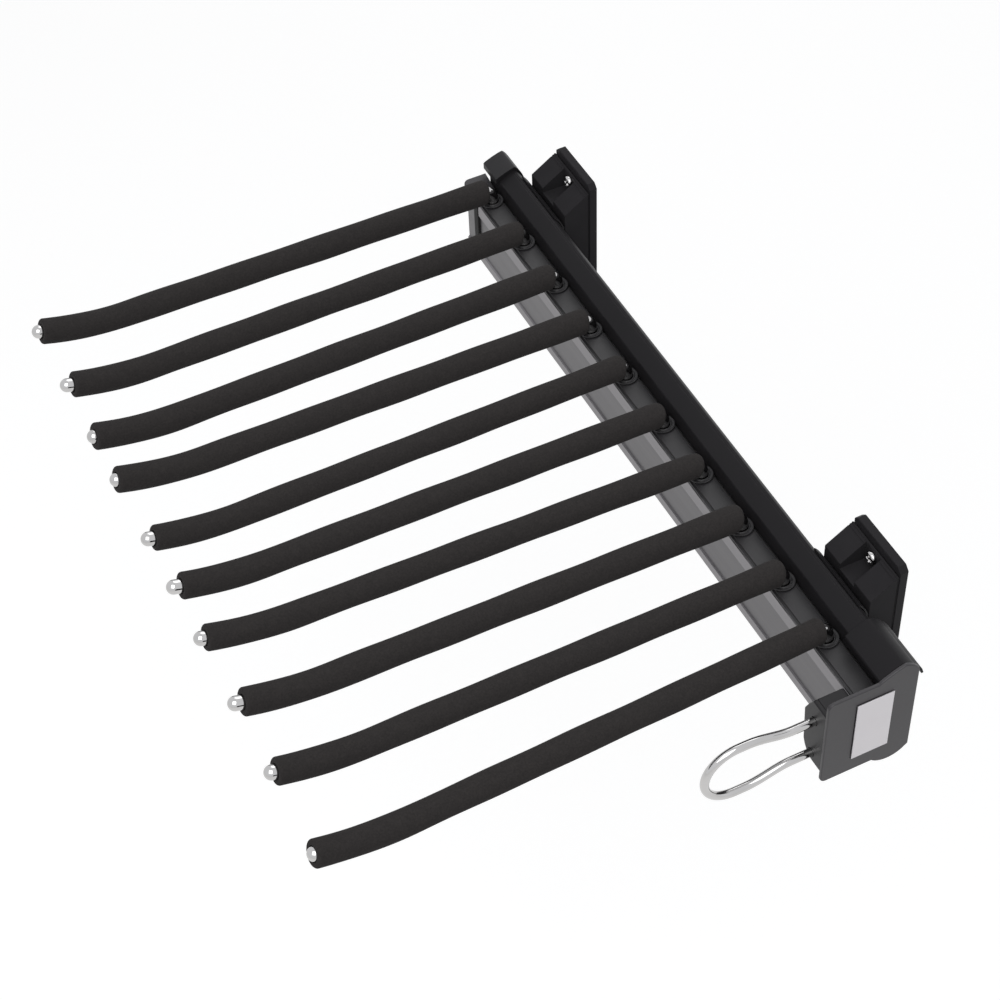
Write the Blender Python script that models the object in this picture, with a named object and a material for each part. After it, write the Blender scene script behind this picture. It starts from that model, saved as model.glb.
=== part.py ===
# Pull-out trouser rack for the side wall of a wardrobe, in metres.
# +Z is up and +X points into the wall. The rack slides out along -Y, towards the user.
# The origin is the centre of the back face of the front wall plate.

from math import acos, asin, cos, pi, radians, sin

import bmesh
import bpy

# Clearance between pieces that touch on the real rack
GAP = 0.0003

# Overall length, from the label's face to the rear caps
LENGTH = 0.455
LABEL_FACE_Y = -0.068
REAR_Y = LABEL_FACE_Y + LENGTH
FRONT_PLATE_Y = -0.067
FRONT_PLATE_THICKNESS = 0.002
CARRIAGE_FRONT_Y = FRONT_PLATE_Y + FRONT_PLATE_THICKNESS + GAP

# Brackets, each centred on its wall plate
BRACKET_WIDTH = 0.044
REAR_BRACKET_Y = 0.3395
WALL_PLATE_THICKNESS = 0.005
WALL_PLATE_HALF_HEIGHT = 0.040
WALL_PLATE_CHAMFER = 0.003
BLOCK_RAIL_X = -0.022
BLOCK_HALF_HEIGHT_AT_WALL = 0.0355
BLOCK_HALF_HEIGHT_AT_RAIL = 0.0245
HOLLOW_WIDTH = 0.014
HOLLOW_WALL_X = -0.007
HOLLOW_FLOOR = 0.021
WALL_SCREW_HEIGHT = 0.029
WALL_SCREW_HEAD = (0.004, 0.0025)
WALL_SCREW_SHANK = (0.002, 0.0064)
WALL_SCREW_HOLE = 0.0025
SLIDE_SCREW_RADIUS = 0.00175
SLIDE_SCREW_HEAD = 0.0030
SLIDE_SCREW_END_X = -0.013
# Cutters for the slide screws start left of the slide and stop inside the block
SCREW_CUT_START = -0.030
SCREW_CUT_END = -0.015
CLAMP_THICKNESS = 0.0012

# Arched rail housing, open towards the carriage
HOUSING_LEFT = -0.0404
HOUSING_RIGHT = -0.0238
HOUSING_WALL = 0.0015
# Heights of a top at its left side, at its crest and at its right side
HOUSING_TOP = (0.0200, 0.0251, 0.0148)
HOUSING_LEFT_GROWTH = 0.6
# The crest's share of the span, and the powers that bend the rise before it and the fall after it
CREST_SHARE = 0.63
CREST_RISE = 1.35
CREST_FALL = 1.5
HOUSING_BOTTOM_SPRING = -0.0415
HOUSING_BOTTOM_RISE = 0.0055
HOUSING_TOP_LIP = 0.0087
HOUSING_BOTTOM_LIP = -0.0387
HOUSING_FRONT_Y = -0.063
HOUSING_REAR_Y = REAR_Y - 0.005

# Ball slide of three members, bolted to the housing's right wall
SLIDE_BACK_X = HOUSING_RIGHT - HOUSING_WALL - GAP
SLIDE_Z = -0.015
SLIDE_FRONT_Y = -0.047
SLIDE_LENGTH = 0.400
SLIDE_SHEET = 0.0012
OUTER_HALF_HEIGHT = 0.0227
MIDDLE_HALF_HEIGHT = 0.0174
INNER_HALF_HEIGHT = 0.0121
FLANGE_REACH = 0.0117
BALL_RADIUS = 0.00175
BALLS_PER_ROW = 6
CAGE_LENGTH = 0.192
CAGE_SHEET = 0.0006
CAGE_FLANGE = 0.001
# Each cage's web, flange length and ball row, measured from the slide's back
OUTER_CAGE = (0.0015, 0.0070, 0.0060)
INNER_CAGE = (0.0039, 0.0066, 0.0078)
OUTER_LIP = 0.003
INNER_WEB_CLEARANCE = 0.0005
INNER_TIP_X = SLIDE_BACK_X - 0.0048
# Hooks pressed out of the inner member, which hold the carriage beam
HOOK_PLACES = (-0.150, 0.0, 0.150)
HOOK_LENGTH = 0.008
HOOK_HEIGHT = 0.0035
HOOK_REACH = 0.004
# The carriage is drawn about the middle of the closed slide
CARRIAGE_Y = SLIDE_FRONT_Y + SLIDE_LENGTH / 2

# Carriage beam, a ribbed aluminium extrusion
BEAM_LEFT = -0.0556
BEAM_RIGHT = -0.0394
BEAM_TOP = 0.008
BEAM_BOTTOM = -0.038
BEAM_TOP_BAND = 0.009
BEAM_BOTTOM_BAND = 0.006
BEAM_RECESS = 0.001
BEAM_WALL = 0.0015
BEAM_TOP_WALL = 0.002
BEAM_RIB_Z = (-0.015, -0.030)
BEAM_RIB_THICKNESS = 0.006
PORT_RADIUS = 0.0015
PORT_X = -0.046
PEG_LENGTH = 0.014
BUMPER_FRONT_Y = 0.3695
BUMPER_THICKNESS = 0.0055
REAR_CAP_FRONT_Y = 0.3726

# Black strip along the top of the beam
STRIP_LEFT = -0.0553
STRIP_RIGHT = -0.0416
STRIP_TOP = 0.0108
STRIP_STEP_WIDTH = 0.0012
STRIP_STEP_DROP = 0.0010
STRIP_STEP_SLOPE = 0.0004
# Cap over the strip's rear end
REAR_CAP_LEFT = -0.0575
REAR_CAP_RIGHT = -0.0414
REAR_CAP_CORNER = 0.004
REAR_CAP_FRONT_TOP = 0.0114
REAR_CAP_REAR_TOP = 0.0146
BUMPER_PROUD = 0.0004

# Trouser arms, numbered from the rear
ARM_COUNT = 10
ARM_PITCH = 0.04305
ARM_X = -0.0480
ARM_Z = 0.020
FRONT_ARM_Y = -0.0226
ARM_REACH = 0.2928
ARM_STRAIGHT = 0.2357
ARM_TIP_RADIUS = 0.170
ARM_BASE_RADIUS = 0.006
ROD_RADIUS = 0.004
STUD_RADIUS = 0.003
STUD_LENGTH = 0.009
SHOULDER_STEP = 0.0001
DOME_ANGLES = (35, 65, 87)
STUD_BAR_WIDTH = 0.0084
STUD_BAR_THICKNESS = 0.003
STUD_BAR_FRONT_Y = CARRIAGE_FRONT_Y + 0.020
SLEEVE_RADIUS = 0.0074
SLEEVE_START = 0.0044
# Small turn of each arm about its leg, in degrees, as the rack stands in use
ARM_TURNS = (0.8, -0.4, -0.8, 0.5, -0.5, 0.6, 1.5, 0.8, 0.0, -1.9)

# Collar that lines each arm's hole in the strip
COLLAR_RADIUS = 0.0072
COLLAR_NECK_RADIUS = 0.0050
COLLAR_HEIGHT = 0.0009

# Front plate, handle and label
PLATE_LEFT = -0.074
PLATE_RIGHT = -0.0205
PLATE_TOP = 0.0202
PLATE_BOTTOM = -0.045
PLATE_CORNER = 0.0035
PLATE_ARCH_LEAD = 0.001
PLATE_ARCH = (0.0212, 0.0273, 0.0204)
PLATE_SIDE_TOP = 0.0190
PLATE_SIDE_BOTTOM = -0.0435
PLATE_LOWER_RIGHT = -0.0222
PLATE_LOWER_RISE = 0.0044
HOOD_LENGTH = 0.035
HANDLE_BLOCK_LEFT = -0.0732
# The block's rounded back, as depth behind the plate and height
HANDLE_BLOCK_BACK = (
    (0.0125, BEAM_TOP), (0.0165, 0.0010), (0.0195, -0.0055), (0.0180, -0.0290),
    (0.0165, -0.0325), (0.0140, -0.0360), (0.0100, -0.0385),
)
HANDLE_BLOCK_EDGE = 0.0010
LOOP_Y = -0.055
LOOP_Z = -0.0191
LOOP_SPREAD = 0.0134
LOOP_END_RADIUS = 0.0186
LOOP_END_X = -0.1183
LOOP_WIRE_RADIUS = 0.00245
LOOP_ROOT_X = -0.0610
LOOP_STRAIGHT_X = -0.0850
LOOP_WIDE_X = -0.1130
LABEL_LEFT = -0.0568
LABEL_RIGHT = -0.035
LABEL_TOP = 0.011
LABEL_BOTTOM = -0.0335
LABEL_EDGE = 0.0002

# Hood over the housing's front end
HOOD_LEFT = -0.0430
HOOD_RIGHT = -0.0218
HOOD_BOTTOM = 0.0185
HOOD_TOP = (0.0206, 0.0270, 0.0206)
HOOD_CAVITY_BOTTOM = 0.0100
HOOD_CAVITY_LEFT = -0.0405
HOOD_END_WALL = 0.0012
# The hooked lip, from the arch down its outside and back up its inside
HOOD_LIP = [
    (-0.0192, 0.0183), (-0.0172, 0.0150), (-0.0160, 0.0114), (-0.0173, 0.0112),
    (-0.0185, 0.0144), (-0.0203, 0.0170), (-0.0222, 0.0176),
]

# Cap on the housing's rear end
RAIL_CAP_LENGTH = 0.018
RAIL_CAP_SKIRT = 0.0008
RAIL_CAP_LEFT = -0.0426
RAIL_CAP_ARCH_INSET = 0.0007
RAIL_CAP_LEFT_BOTTOM = 0.0190
RAIL_CAP_LEFT_TOP = 0.0229
RAIL_CAP_TOP = (0.0235, 0.0278, 0.0140)
RAIL_CAP_LOWER_LEFT = -0.0425
RAIL_CAP_LOWER_TOP = -0.0390
RAIL_CAP_INNER_X = -0.0385

ARC_STEPS = 10
# The point of the housing's top and bottom that the clamps start from
CLAMP_FIRST_POINT = 6
ROUND_SIDES = 12
# Cutters reach this far past the faces that they open
PASS = 0.010


def clear_scene():
    for item in list(bpy.data.objects):
        bpy.data.objects.remove(item, do_unlink=True)


def make_material(name, colour, roughness, metallic=0.0):
    material = bpy.data.materials.new(name)
    material.use_nodes = True
    shader = material.node_tree.nodes["Principled BSDF"]
    shader.inputs["Base Color"].default_value = (*colour, 1.0)
    shader.inputs["Roughness"].default_value = roughness
    shader.inputs["Metallic"].default_value = metallic
    material.diffuse_color = (*colour, 1.0)
    return material


def add_object(name, data, material, parent=None, location=(0.0, 0.0, 0.0), turn=0.0):
    item = bpy.data.objects.new(name, data)
    bpy.context.scene.collection.objects.link(item)
    item.parent = parent
    item.location = location
    item.rotation_euler[2] = turn
    if material is not None and not data.materials:
        data.materials.append(material)
    return item


def add_empty(name, location):
    return add_object(name, None, None, None, location)


def finish_mesh(name, shape, smooth_angle=None):
    bmesh.ops.recalc_face_normals(shape, faces=shape.faces)
    mesh = bpy.data.meshes.new(name)
    shape.to_mesh(mesh)
    shape.free()
    if smooth_angle is not None:
        mesh.shade_smooth()
        mesh.set_sharp_from_angle(angle=smooth_angle)
    return mesh


def cut(target, cutter, operation="DIFFERENCE"):
    cutter.hide_render = True
    cutter.display_type = "WIRE"
    boolean = target.modifiers.new(cutter.name, "BOOLEAN")
    boolean.operation = operation
    boolean.solver = "EXACT"
    boolean.object = cutter


def soften(target, width):
    bevel = target.modifiers.new("soft_edges", "BEVEL")
    bevel.width = width
    bevel.segments = 1
    bevel.limit_method = "ANGLE"
    bevel.angle_limit = radians(50)


def arch(left, right, spring, rise):
    # Points of a circular arch from its left springing to its right one.
    # A negative rise makes the arch hang down.
    half = (right - left) / 2
    radius = (half * half + rise * rise) / (2 * abs(rise))
    centre_x = (left + right) / 2
    side = 1 if rise > 0 else -1
    centre_z = spring + rise - side * radius
    reach = asin(half / radius)
    angles = [reach * (2 * step / ARC_STEPS - 1) for step in range(ARC_STEPS + 1)]
    return [(centre_x + radius * sin(a), centre_z + side * radius * cos(a)) for a in angles]


def leaning_arch(left, right, heights):
    # A top that rises to a crest nearer to its right side and then falls steeply
    left_height, top, right_height = heights
    crest = left + (right - left) * CREST_SHARE
    half = ARC_STEPS // 2
    points = []
    for step in range(half):
        share = step / half
        drop = (1 - share) ** CREST_RISE
        points.append((left + (crest - left) * share, top - (top - left_height) * drop))
    for step in range(half + 1):
        angle = pi / 2 * step / half
        across = sin(angle) ** CREST_FALL
        height = max(cos(angle), 0.0) ** CREST_FALL
        points.append((crest + (right - crest) * across, right_height + (top - right_height) * height))
    return points


def corner(centre, radius, start, end, steps=4):
    # Points of a rounded corner, with its angles in degrees from +X towards +Z
    angles = [radians(start + (end - start) * step / steps) for step in range(steps + 1)]
    return [(centre[0] + radius * cos(a), centre[1] + radius * sin(a)) for a in angles]


def rectangle(left, right, bottom, top):
    return [(left, bottom), (right, bottom), (right, top), (left, top)]


def add_prism(shape, outline, start, end, along="Y"):
    # Extrudes a closed outline. Along Y its points are (X, Z), along X they are (Y, Z),
    # and along Z they are (X, Y).
    place = {
        "X": lambda a, b, depth: (depth, a, b),
        "Y": lambda a, b, depth: (a, depth, b),
        "Z": lambda a, b, depth: (a, b, depth),
    }[along]
    near = [shape.verts.new(place(a, b, start)) for a, b in outline]
    face = shape.faces.new(near)
    moved = bmesh.ops.extrude_face_region(shape, geom=[face])
    far = [item for item in moved["geom"] if isinstance(item, bmesh.types.BMVert)]
    bmesh.ops.translate(shape, verts=far, vec=place(0.0, 0.0, end - start))


def prism(name, outline, start, end, along="Y", smooth_angle=None):
    shape = bmesh.new()
    add_prism(shape, outline, start, end, along)
    return finish_mesh(name, shape, smooth_angle)


def add_turned(shape, profile, centre, along="Z", sides=ROUND_SIDES):
    # Turns a closed profile of (radius, height) points about an axis through the centre.
    # Points on the axis become the poles of a solid.
    place = {
        "X": lambda across, side, height: (height, across, side),
        "Y": lambda across, side, height: (across, height, side),
        "Z": lambda across, side, height: (across, side, height),
    }[along]
    rings = []
    for radius, height in profile:
        turns = sides if radius > 0 else 1
        ring = []
        for step in range(turns):
            angle = 2 * pi * step / sides
            x, y, z = place(radius * cos(angle), radius * sin(angle), height)
            ring.append(shape.verts.new((centre[0] + x, centre[1] + y, centre[2] + z)))
        rings.append(ring)
    pairs = list(zip(rings, rings[1:]))
    if profile[0][0] > 0:
        pairs.append((rings[-1], rings[0]))
    for low, high in pairs:
        for step in range(sides):
            following = (step + 1) % sides
            corners = [low[step % len(low)], low[following % len(low)]]
            corners += [high[following % len(high)], high[step % len(high)]]
            shape.faces.new(list(dict.fromkeys(corners)))


def add_cylinder(shape, centre, radius, start, end, along="Z", sides=ROUND_SIDES):
    add_turned(shape, [(0, start), (radius, start), (radius, end), (0, end)], centre, along, sides)


def cutter_of(name, shape, parent=None):
    return add_object(name, finish_mesh(name, shape), None, parent)


# Materials, from the photographed finish of each piece

def rack_materials():
    return {
        "black_plastic": make_material("black_plastic", (0.035, 0.034, 0.036), 0.45),
        "black_paint": make_material("black_paint", (0.030, 0.030, 0.032), 0.40, 0.2),
        "grey_paint": make_material("grey_paint", (0.075, 0.072, 0.076), 0.42, 0.2),
        "aluminium": make_material("aluminium", (0.45, 0.45, 0.46), 0.35, 1.0),
        "zinc_steel": make_material("zinc_steel", (0.55, 0.56, 0.58), 0.35, 1.0),
        "chrome": make_material("chrome", (0.80, 0.80, 0.82), 0.08, 1.0),
        "foam": make_material("foam", (0.028, 0.026, 0.025), 0.95),
        "rubber": make_material("rubber", (0.015, 0.015, 0.015), 0.70),
        "label_metal": make_material("label_metal", (0.58, 0.56, 0.58), 0.30, 0.6),
    }


# Brackets on the wardrobe's side wall

def screw_profile(head_radius, head_height, shank_radius, shank_length):
    # A pan head above zero and a shank below it
    return [
        (0, head_height), (head_radius * 0.62, head_height), (head_radius, head_height * 0.45),
        (head_radius, 0), (shank_radius, 0), (shank_radius, -shank_length), (0, -shank_length),
    ]


def countersunk_profile(head_radius, shank_radius, shank_length):
    # A flat head that ends at zero, its cone and a shank below it
    cone = head_radius - shank_radius
    return [
        (0, 0), (head_radius, 0), (shank_radius, -cone), (shank_radius, -shank_length), (0, -shank_length),
    ]


def mirrored(profile):
    return [(radius, -height) for radius, height in profile]


def wall_plate(name, bracket, material):
    half = BRACKET_WIDTH / 2
    high = WALL_PLATE_HALF_HEIGHT
    cut_off = WALL_PLATE_CHAMFER
    outline = [
        (-half, -high + cut_off), (-half + cut_off, -high), (half - cut_off, -high), (half, -high + cut_off),
        (half, high - cut_off), (half - cut_off, high), (-half + cut_off, high), (-half, high - cut_off),
    ]
    plate = add_object(name, prism(name, outline, -WALL_PLATE_THICKNESS, 0.0, "X"), material, bracket)
    holes = bmesh.new()
    for height in (-WALL_SCREW_HEIGHT, WALL_SCREW_HEIGHT):
        add_cylinder(holes, (0, 0, height), WALL_SCREW_HOLE, -PASS, PASS, "X")
    cut(plate, cutter_of(name + "_holes", holes, bracket))


def bracket_block(name, bracket, material):
    # The block's top and bottom slope down towards the rail, each with a hollow for a screwdriver
    wall_x = -WALL_PLATE_THICKNESS - GAP
    outline = [
        (wall_x, BLOCK_HALF_HEIGHT_AT_WALL), (BLOCK_RAIL_X, BLOCK_HALF_HEIGHT_AT_RAIL),
        (BLOCK_RAIL_X, -BLOCK_HALF_HEIGHT_AT_RAIL), (wall_x, -BLOCK_HALF_HEIGHT_AT_WALL),
    ]
    half = BRACKET_WIDTH / 2
    block = add_object(name, prism(name, outline, -half, half), material, bracket)
    hollows = bmesh.new()
    hollow_left = BLOCK_RAIL_X - PASS
    for side in (1, -1):
        low, high = sorted((side * HOLLOW_FLOOR, side * (BLOCK_HALF_HEIGHT_AT_WALL + PASS)))
        section = rectangle(hollow_left, HOLLOW_WALL_X, low, high)
        add_prism(hollows, section, -HOLLOW_WIDTH / 2, HOLLOW_WIDTH / 2)
    cut(block, cutter_of(name + "_hollows", hollows, bracket))
    holes = bmesh.new()
    for height in (-WALL_SCREW_HEIGHT, WALL_SCREW_HEIGHT):
        add_cylinder(holes, (0, 0, height), WALL_SCREW_HOLE, -PASS, 0.0, "X")
    slide_screw_end = SLIDE_SCREW_END_X + GAP
    add_cylinder(holes, (0, 0, SLIDE_Z), SLIDE_SCREW_RADIUS + GAP, SCREW_CUT_START, slide_screw_end, "X")
    cut(block, cutter_of(name + "_holes", holes, bracket))


def rail_clamp(name, bracket, material):
    # A formed steel strap that hugs the housing's right wall and both shoulders
    inner = clamp_line(GAP)
    outer = clamp_line(GAP + CLAMP_THICKNESS)
    strap = prism(name, inner + outer[::-1], -BRACKET_WIDTH / 2, BRACKET_WIDTH / 2)
    clamp = add_object(name, strap, material, bracket)
    holes = bmesh.new()
    add_cylinder(holes, (0, 0, SLIDE_Z), SLIDE_SCREW_RADIUS + GAP, SCREW_CUT_START, SCREW_CUT_END, "X")
    cut(clamp, cutter_of(name + "_hole", holes, bracket))


def clamp_line(offset):
    # The housing's right half, moved out by the offset, from the top shoulder to the bottom one
    top, bottom = housing_outline(offset)
    return top[CLAMP_FIRST_POINT:] + bottom[CLAMP_FIRST_POINT:][::-1]


def wall_screw(name, bracket, height, material):
    shape = bmesh.new()
    profile = mirrored(screw_profile(*WALL_SCREW_HEAD, *WALL_SCREW_SHANK))
    add_turned(shape, profile, (HOLLOW_WALL_X - GAP, 0, height), "X")
    add_object(name, finish_mesh(name, shape, radians(40)), material, bracket)


def slide_screw(name, bracket, material):
    # A countersunk screw from inside the slide, through housing and strap, into the block
    shape = bmesh.new()
    head_x = SLIDE_BACK_X - SLIDE_SHEET
    length = SLIDE_SCREW_END_X - head_x
    profile = mirrored(countersunk_profile(SLIDE_SCREW_HEAD, SLIDE_SCREW_RADIUS, length))
    add_turned(shape, profile, (head_x, 0, SLIDE_Z), "X")
    add_object(name, finish_mesh(name, shape, radians(40)), material, bracket)


def build_bracket(side, y, look):
    bracket = add_empty("bracket_" + side, (0.0, y, 0.0))
    wall_plate("wall_plate_" + side, bracket, look["black_paint"])
    bracket_block("bracket_block_" + side, bracket, look["black_plastic"])
    rail_clamp("rail_clamp_" + side, bracket, look["black_paint"])
    wall_screw("wall_screw_" + side + "_upper", bracket, WALL_SCREW_HEIGHT, look["chrome"])
    wall_screw("wall_screw_" + side + "_lower", bracket, -WALL_SCREW_HEIGHT, look["chrome"])
    slide_screw("slide_screw_" + side, bracket, look["zinc_steel"])


# Rail housing and its rear cap

def housing_outline(offset=0.0):
    # The top and bottom of the outline moved out by the offset
    left = HOUSING_LEFT - offset
    right = HOUSING_RIGHT + offset
    left_height, crest_height, right_height = HOUSING_TOP
    heights = (left_height + offset * HOUSING_LEFT_GROWTH, crest_height + offset, right_height)
    top = leaning_arch(left, right, heights)
    bottom = arch(left, right, HOUSING_BOTTOM_SPRING, -HOUSING_BOTTOM_RISE - offset)
    return top, bottom


def rail_housing(look):
    top, bottom = housing_outline()
    inner_top, inner_bottom = housing_outline(-HOUSING_WALL)
    outline = [(HOUSING_LEFT, HOUSING_TOP_LIP)] + top + bottom[::-1] + [(HOUSING_LEFT, HOUSING_BOTTOM_LIP)]
    inner_left = HOUSING_LEFT + HOUSING_WALL
    outline += [(inner_left, HOUSING_BOTTOM_LIP)] + inner_bottom + inner_top[::-1]
    outline += [(inner_left, HOUSING_TOP_LIP)]
    mesh = prism("rail_housing", outline, HOUSING_FRONT_Y, HOUSING_REAR_Y, smooth_angle=radians(25))
    housing = add_object("rail_housing", mesh, look["black_paint"])
    holes = bmesh.new()
    for y in (0.0, REAR_BRACKET_Y):
        add_cylinder(holes, (0, y, SLIDE_Z), SLIDE_SCREW_RADIUS + GAP, SCREW_CUT_START, SCREW_CUT_END, "X")
    cut(housing, cutter_of("housing_screw_holes", holes))


def rail_rear_cap(look):
    # A cap that fits over the housing's end. Its left side stops above the carriage.
    left = RAIL_CAP_LEFT
    right = HOUSING_RIGHT + GAP + RAIL_CAP_SKIRT
    outline = [(left, RAIL_CAP_LEFT_BOTTOM), (left, RAIL_CAP_LEFT_TOP)]
    arch_left = left + RAIL_CAP_ARCH_INSET
    outline += leaning_arch(arch_left, right, RAIL_CAP_TOP)
    drop = HOUSING_BOTTOM_RISE + RAIL_CAP_SKIRT + GAP
    outline += arch(RAIL_CAP_LOWER_LEFT, right, HOUSING_BOTTOM_SPRING, -drop)[::-1]
    outline += [(RAIL_CAP_LOWER_LEFT, RAIL_CAP_LOWER_TOP), (RAIL_CAP_INNER_X, RAIL_CAP_LOWER_TOP)]
    outline += [(RAIL_CAP_INNER_X, RAIL_CAP_LEFT_BOTTOM)]
    front_y = REAR_Y - RAIL_CAP_LENGTH
    mesh = prism("rail_rear_cap", outline, front_y, REAR_Y, smooth_angle=radians(25))
    cap = add_object("rail_rear_cap", mesh, look["grey_paint"])
    over, under = housing_outline(GAP)
    cavity = bmesh.new()
    add_prism(cavity, over + under[::-1], front_y - PASS, HOUSING_REAR_Y + GAP)
    cut(cap, cutter_of("rear_cap_cavity", cavity))


# Ball slide

def channel(reach, half_height, web_x, sheet=SLIDE_SHEET, lip=0.0):
    # A C-shaped section that opens towards -X, about the slide's centre height
    back = SLIDE_BACK_X - web_x
    tip = back - reach
    points = [(back, half_height), (tip, half_height)]
    if lip > 0:
        points += [(tip, half_height - lip), (tip + sheet, half_height - lip)]
        points += [(tip + sheet, half_height - sheet)]
    else:
        points += [(tip, half_height - sheet)]
    points += [(back - sheet, half_height - sheet)]
    return points + [(x, -z) for x, z in reversed(points)]


def slide_outer(look):
    outline = channel(FLANGE_REACH, OUTER_HALF_HEIGHT, 0.0, lip=OUTER_LIP)
    mesh = prism("slide_outer", outline, 0.0, SLIDE_LENGTH)
    outer = add_object("slide_outer", mesh, look["zinc_steel"], None, (0.0, SLIDE_FRONT_Y, SLIDE_Z))
    head_x = SLIDE_BACK_X - SLIDE_SHEET
    radius = SLIDE_SCREW_RADIUS + GAP
    mouth = SLIDE_SCREW_HEAD + GAP
    before = -SLIDE_SHEET
    profile = [(0, before), (mouth, before), (mouth, 0), (radius, mouth - radius), (radius, PASS), (0, PASS)]
    holes = bmesh.new()
    for y in (0.0, REAR_BRACKET_Y):
        add_turned(holes, profile, (head_x, y, SLIDE_Z), "X")
    cut(outer, cutter_of("slide_outer_holes", holes))


def slide_middle(parent, look):
    web_x = 2 * SLIDE_SHEET
    outline = channel(FLANGE_REACH - web_x, MIDDLE_HALF_HEIGHT, web_x)
    mesh = prism("slide_middle", outline, -SLIDE_LENGTH / 2, SLIDE_LENGTH / 2)
    add_object("slide_middle", mesh, look["zinc_steel"], parent)


def slide_inner(parent, look):
    # The inner member opens towards the wall, with its web on the carriage
    web = SLIDE_BACK_X - FLANGE_REACH - INNER_WEB_CLEARANCE
    high = INNER_HALF_HEIGHT
    low = high - SLIDE_SHEET
    half = [(INNER_TIP_X, low), (INNER_TIP_X, high), (web - SLIDE_SHEET, high)]
    outline = half + [(x, -z) for x, z in reversed(half)] + [(web, -low), (web, low)]
    mesh = prism("slide_inner", outline, -SLIDE_LENGTH / 2, SLIDE_LENGTH / 2)
    inner = add_object("slide_inner", mesh, look["zinc_steel"], parent)
    hooks = bmesh.new()
    hook_left = web - SLIDE_SHEET - HOOK_REACH
    hook = rectangle(hook_left, web - SLIDE_SHEET / 2, -HOOK_HEIGHT / 2, HOOK_HEIGHT / 2)
    for y in HOOK_PLACES:
        add_prism(hooks, hook, y - HOOK_LENGTH / 2, y + HOOK_LENGTH / 2)
    cut(inner, cutter_of("slide_inner_hooks", hooks, parent), "UNION")


def ball_cage(name, parent, look, height, measures):
    # A thin U-shaped retainer with two rows of balls
    web_x, flange_reach, ball_x = measures
    outline = channel(flange_reach, height + CAGE_FLANGE / 2, web_x, sheet=CAGE_SHEET)
    retainer = prism(name, outline, -CAGE_LENGTH / 2, CAGE_LENGTH / 2)
    cage = add_object(name, retainer, look["zinc_steel"], parent)
    balls = bmesh.new()
    pitch = CAGE_LENGTH / BALLS_PER_ROW
    for side in (1, -1):
        for step in range(BALLS_PER_ROW):
            y = (step + 0.5) * pitch - CAGE_LENGTH / 2
            add_ball(balls, (SLIDE_BACK_X - ball_x, y, side * height))
    cut(cage, cutter_of(name + "_balls", balls, parent), "UNION")


def add_ball(shape, centre, rings=4, sides=6):
    angles = [pi * step / rings for step in range(1, rings)]
    profile = [(BALL_RADIUS * sin(a), BALL_RADIUS * cos(a)) for a in angles]
    add_turned(shape, [(0, BALL_RADIUS)] + profile + [(0, -BALL_RADIUS)], centre, sides=sides)


def build_slide(carriage, look):
    centre_y = SLIDE_FRONT_Y + SLIDE_LENGTH / 2
    slide_outer(look)
    slide_middle(add_empty("middle_member_axis", (0.0, centre_y, SLIDE_Z)), look)
    slide_inner(carriage, look)
    outer_row = (OUTER_HALF_HEIGHT - SLIDE_SHEET + MIDDLE_HALF_HEIGHT) / 2
    inner_row = (MIDDLE_HALF_HEIGHT - SLIDE_SHEET + INNER_HALF_HEIGHT) / 2
    outer_axis = add_empty("outer_cage_axis", (0.0, centre_y, SLIDE_Z))
    inner_axis = add_empty("inner_cage_axis", (0.0, centre_y, SLIDE_Z))
    ball_cage("outer_ball_cage", outer_axis, look, outer_row, OUTER_CAGE)
    ball_cage("inner_ball_cage", inner_axis, look, inner_row, INNER_CAGE)


# Carriage, drawn about the slide's centre, which its parent empty stands at

def arm_places():
    # The Y of each arm in the row frame, from the rear arm to the front one
    return [FRONT_ARM_Y + ARM_PITCH * (ARM_COUNT - 1 - index) for index in range(ARM_COUNT)]


def beam_outline():
    recess_top = BEAM_TOP - BEAM_TOP_BAND
    recess_bottom = BEAM_BOTTOM + BEAM_BOTTOM_BAND
    recess_x = BEAM_LEFT + BEAM_RECESS
    return [
        (BEAM_RIGHT, BEAM_TOP), (BEAM_LEFT, BEAM_TOP),
        (BEAM_LEFT, recess_top), (recess_x, recess_top - BEAM_RECESS),
        (recess_x, recess_bottom + BEAM_RECESS), (BEAM_LEFT, recess_bottom),
        (BEAM_LEFT, BEAM_BOTTOM), (BEAM_RIGHT, BEAM_BOTTOM),
    ]


def beam_cells():
    # The three hollow cells between the beam's walls and its two ribs
    left = BEAM_LEFT + BEAM_RECESS + BEAM_WALL
    right = BEAM_RIGHT - BEAM_WALL
    half_rib = BEAM_RIB_THICKNESS / 2
    levels = [BEAM_BOTTOM + BEAM_WALL]
    for rib in sorted(BEAM_RIB_Z):
        levels += [rib - half_rib, rib + half_rib]
    levels.append(BEAM_TOP - BEAM_TOP_WALL)
    return [rectangle(left, right, levels[index], levels[index + 1]) for index in range(0, len(levels), 2)]


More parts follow.
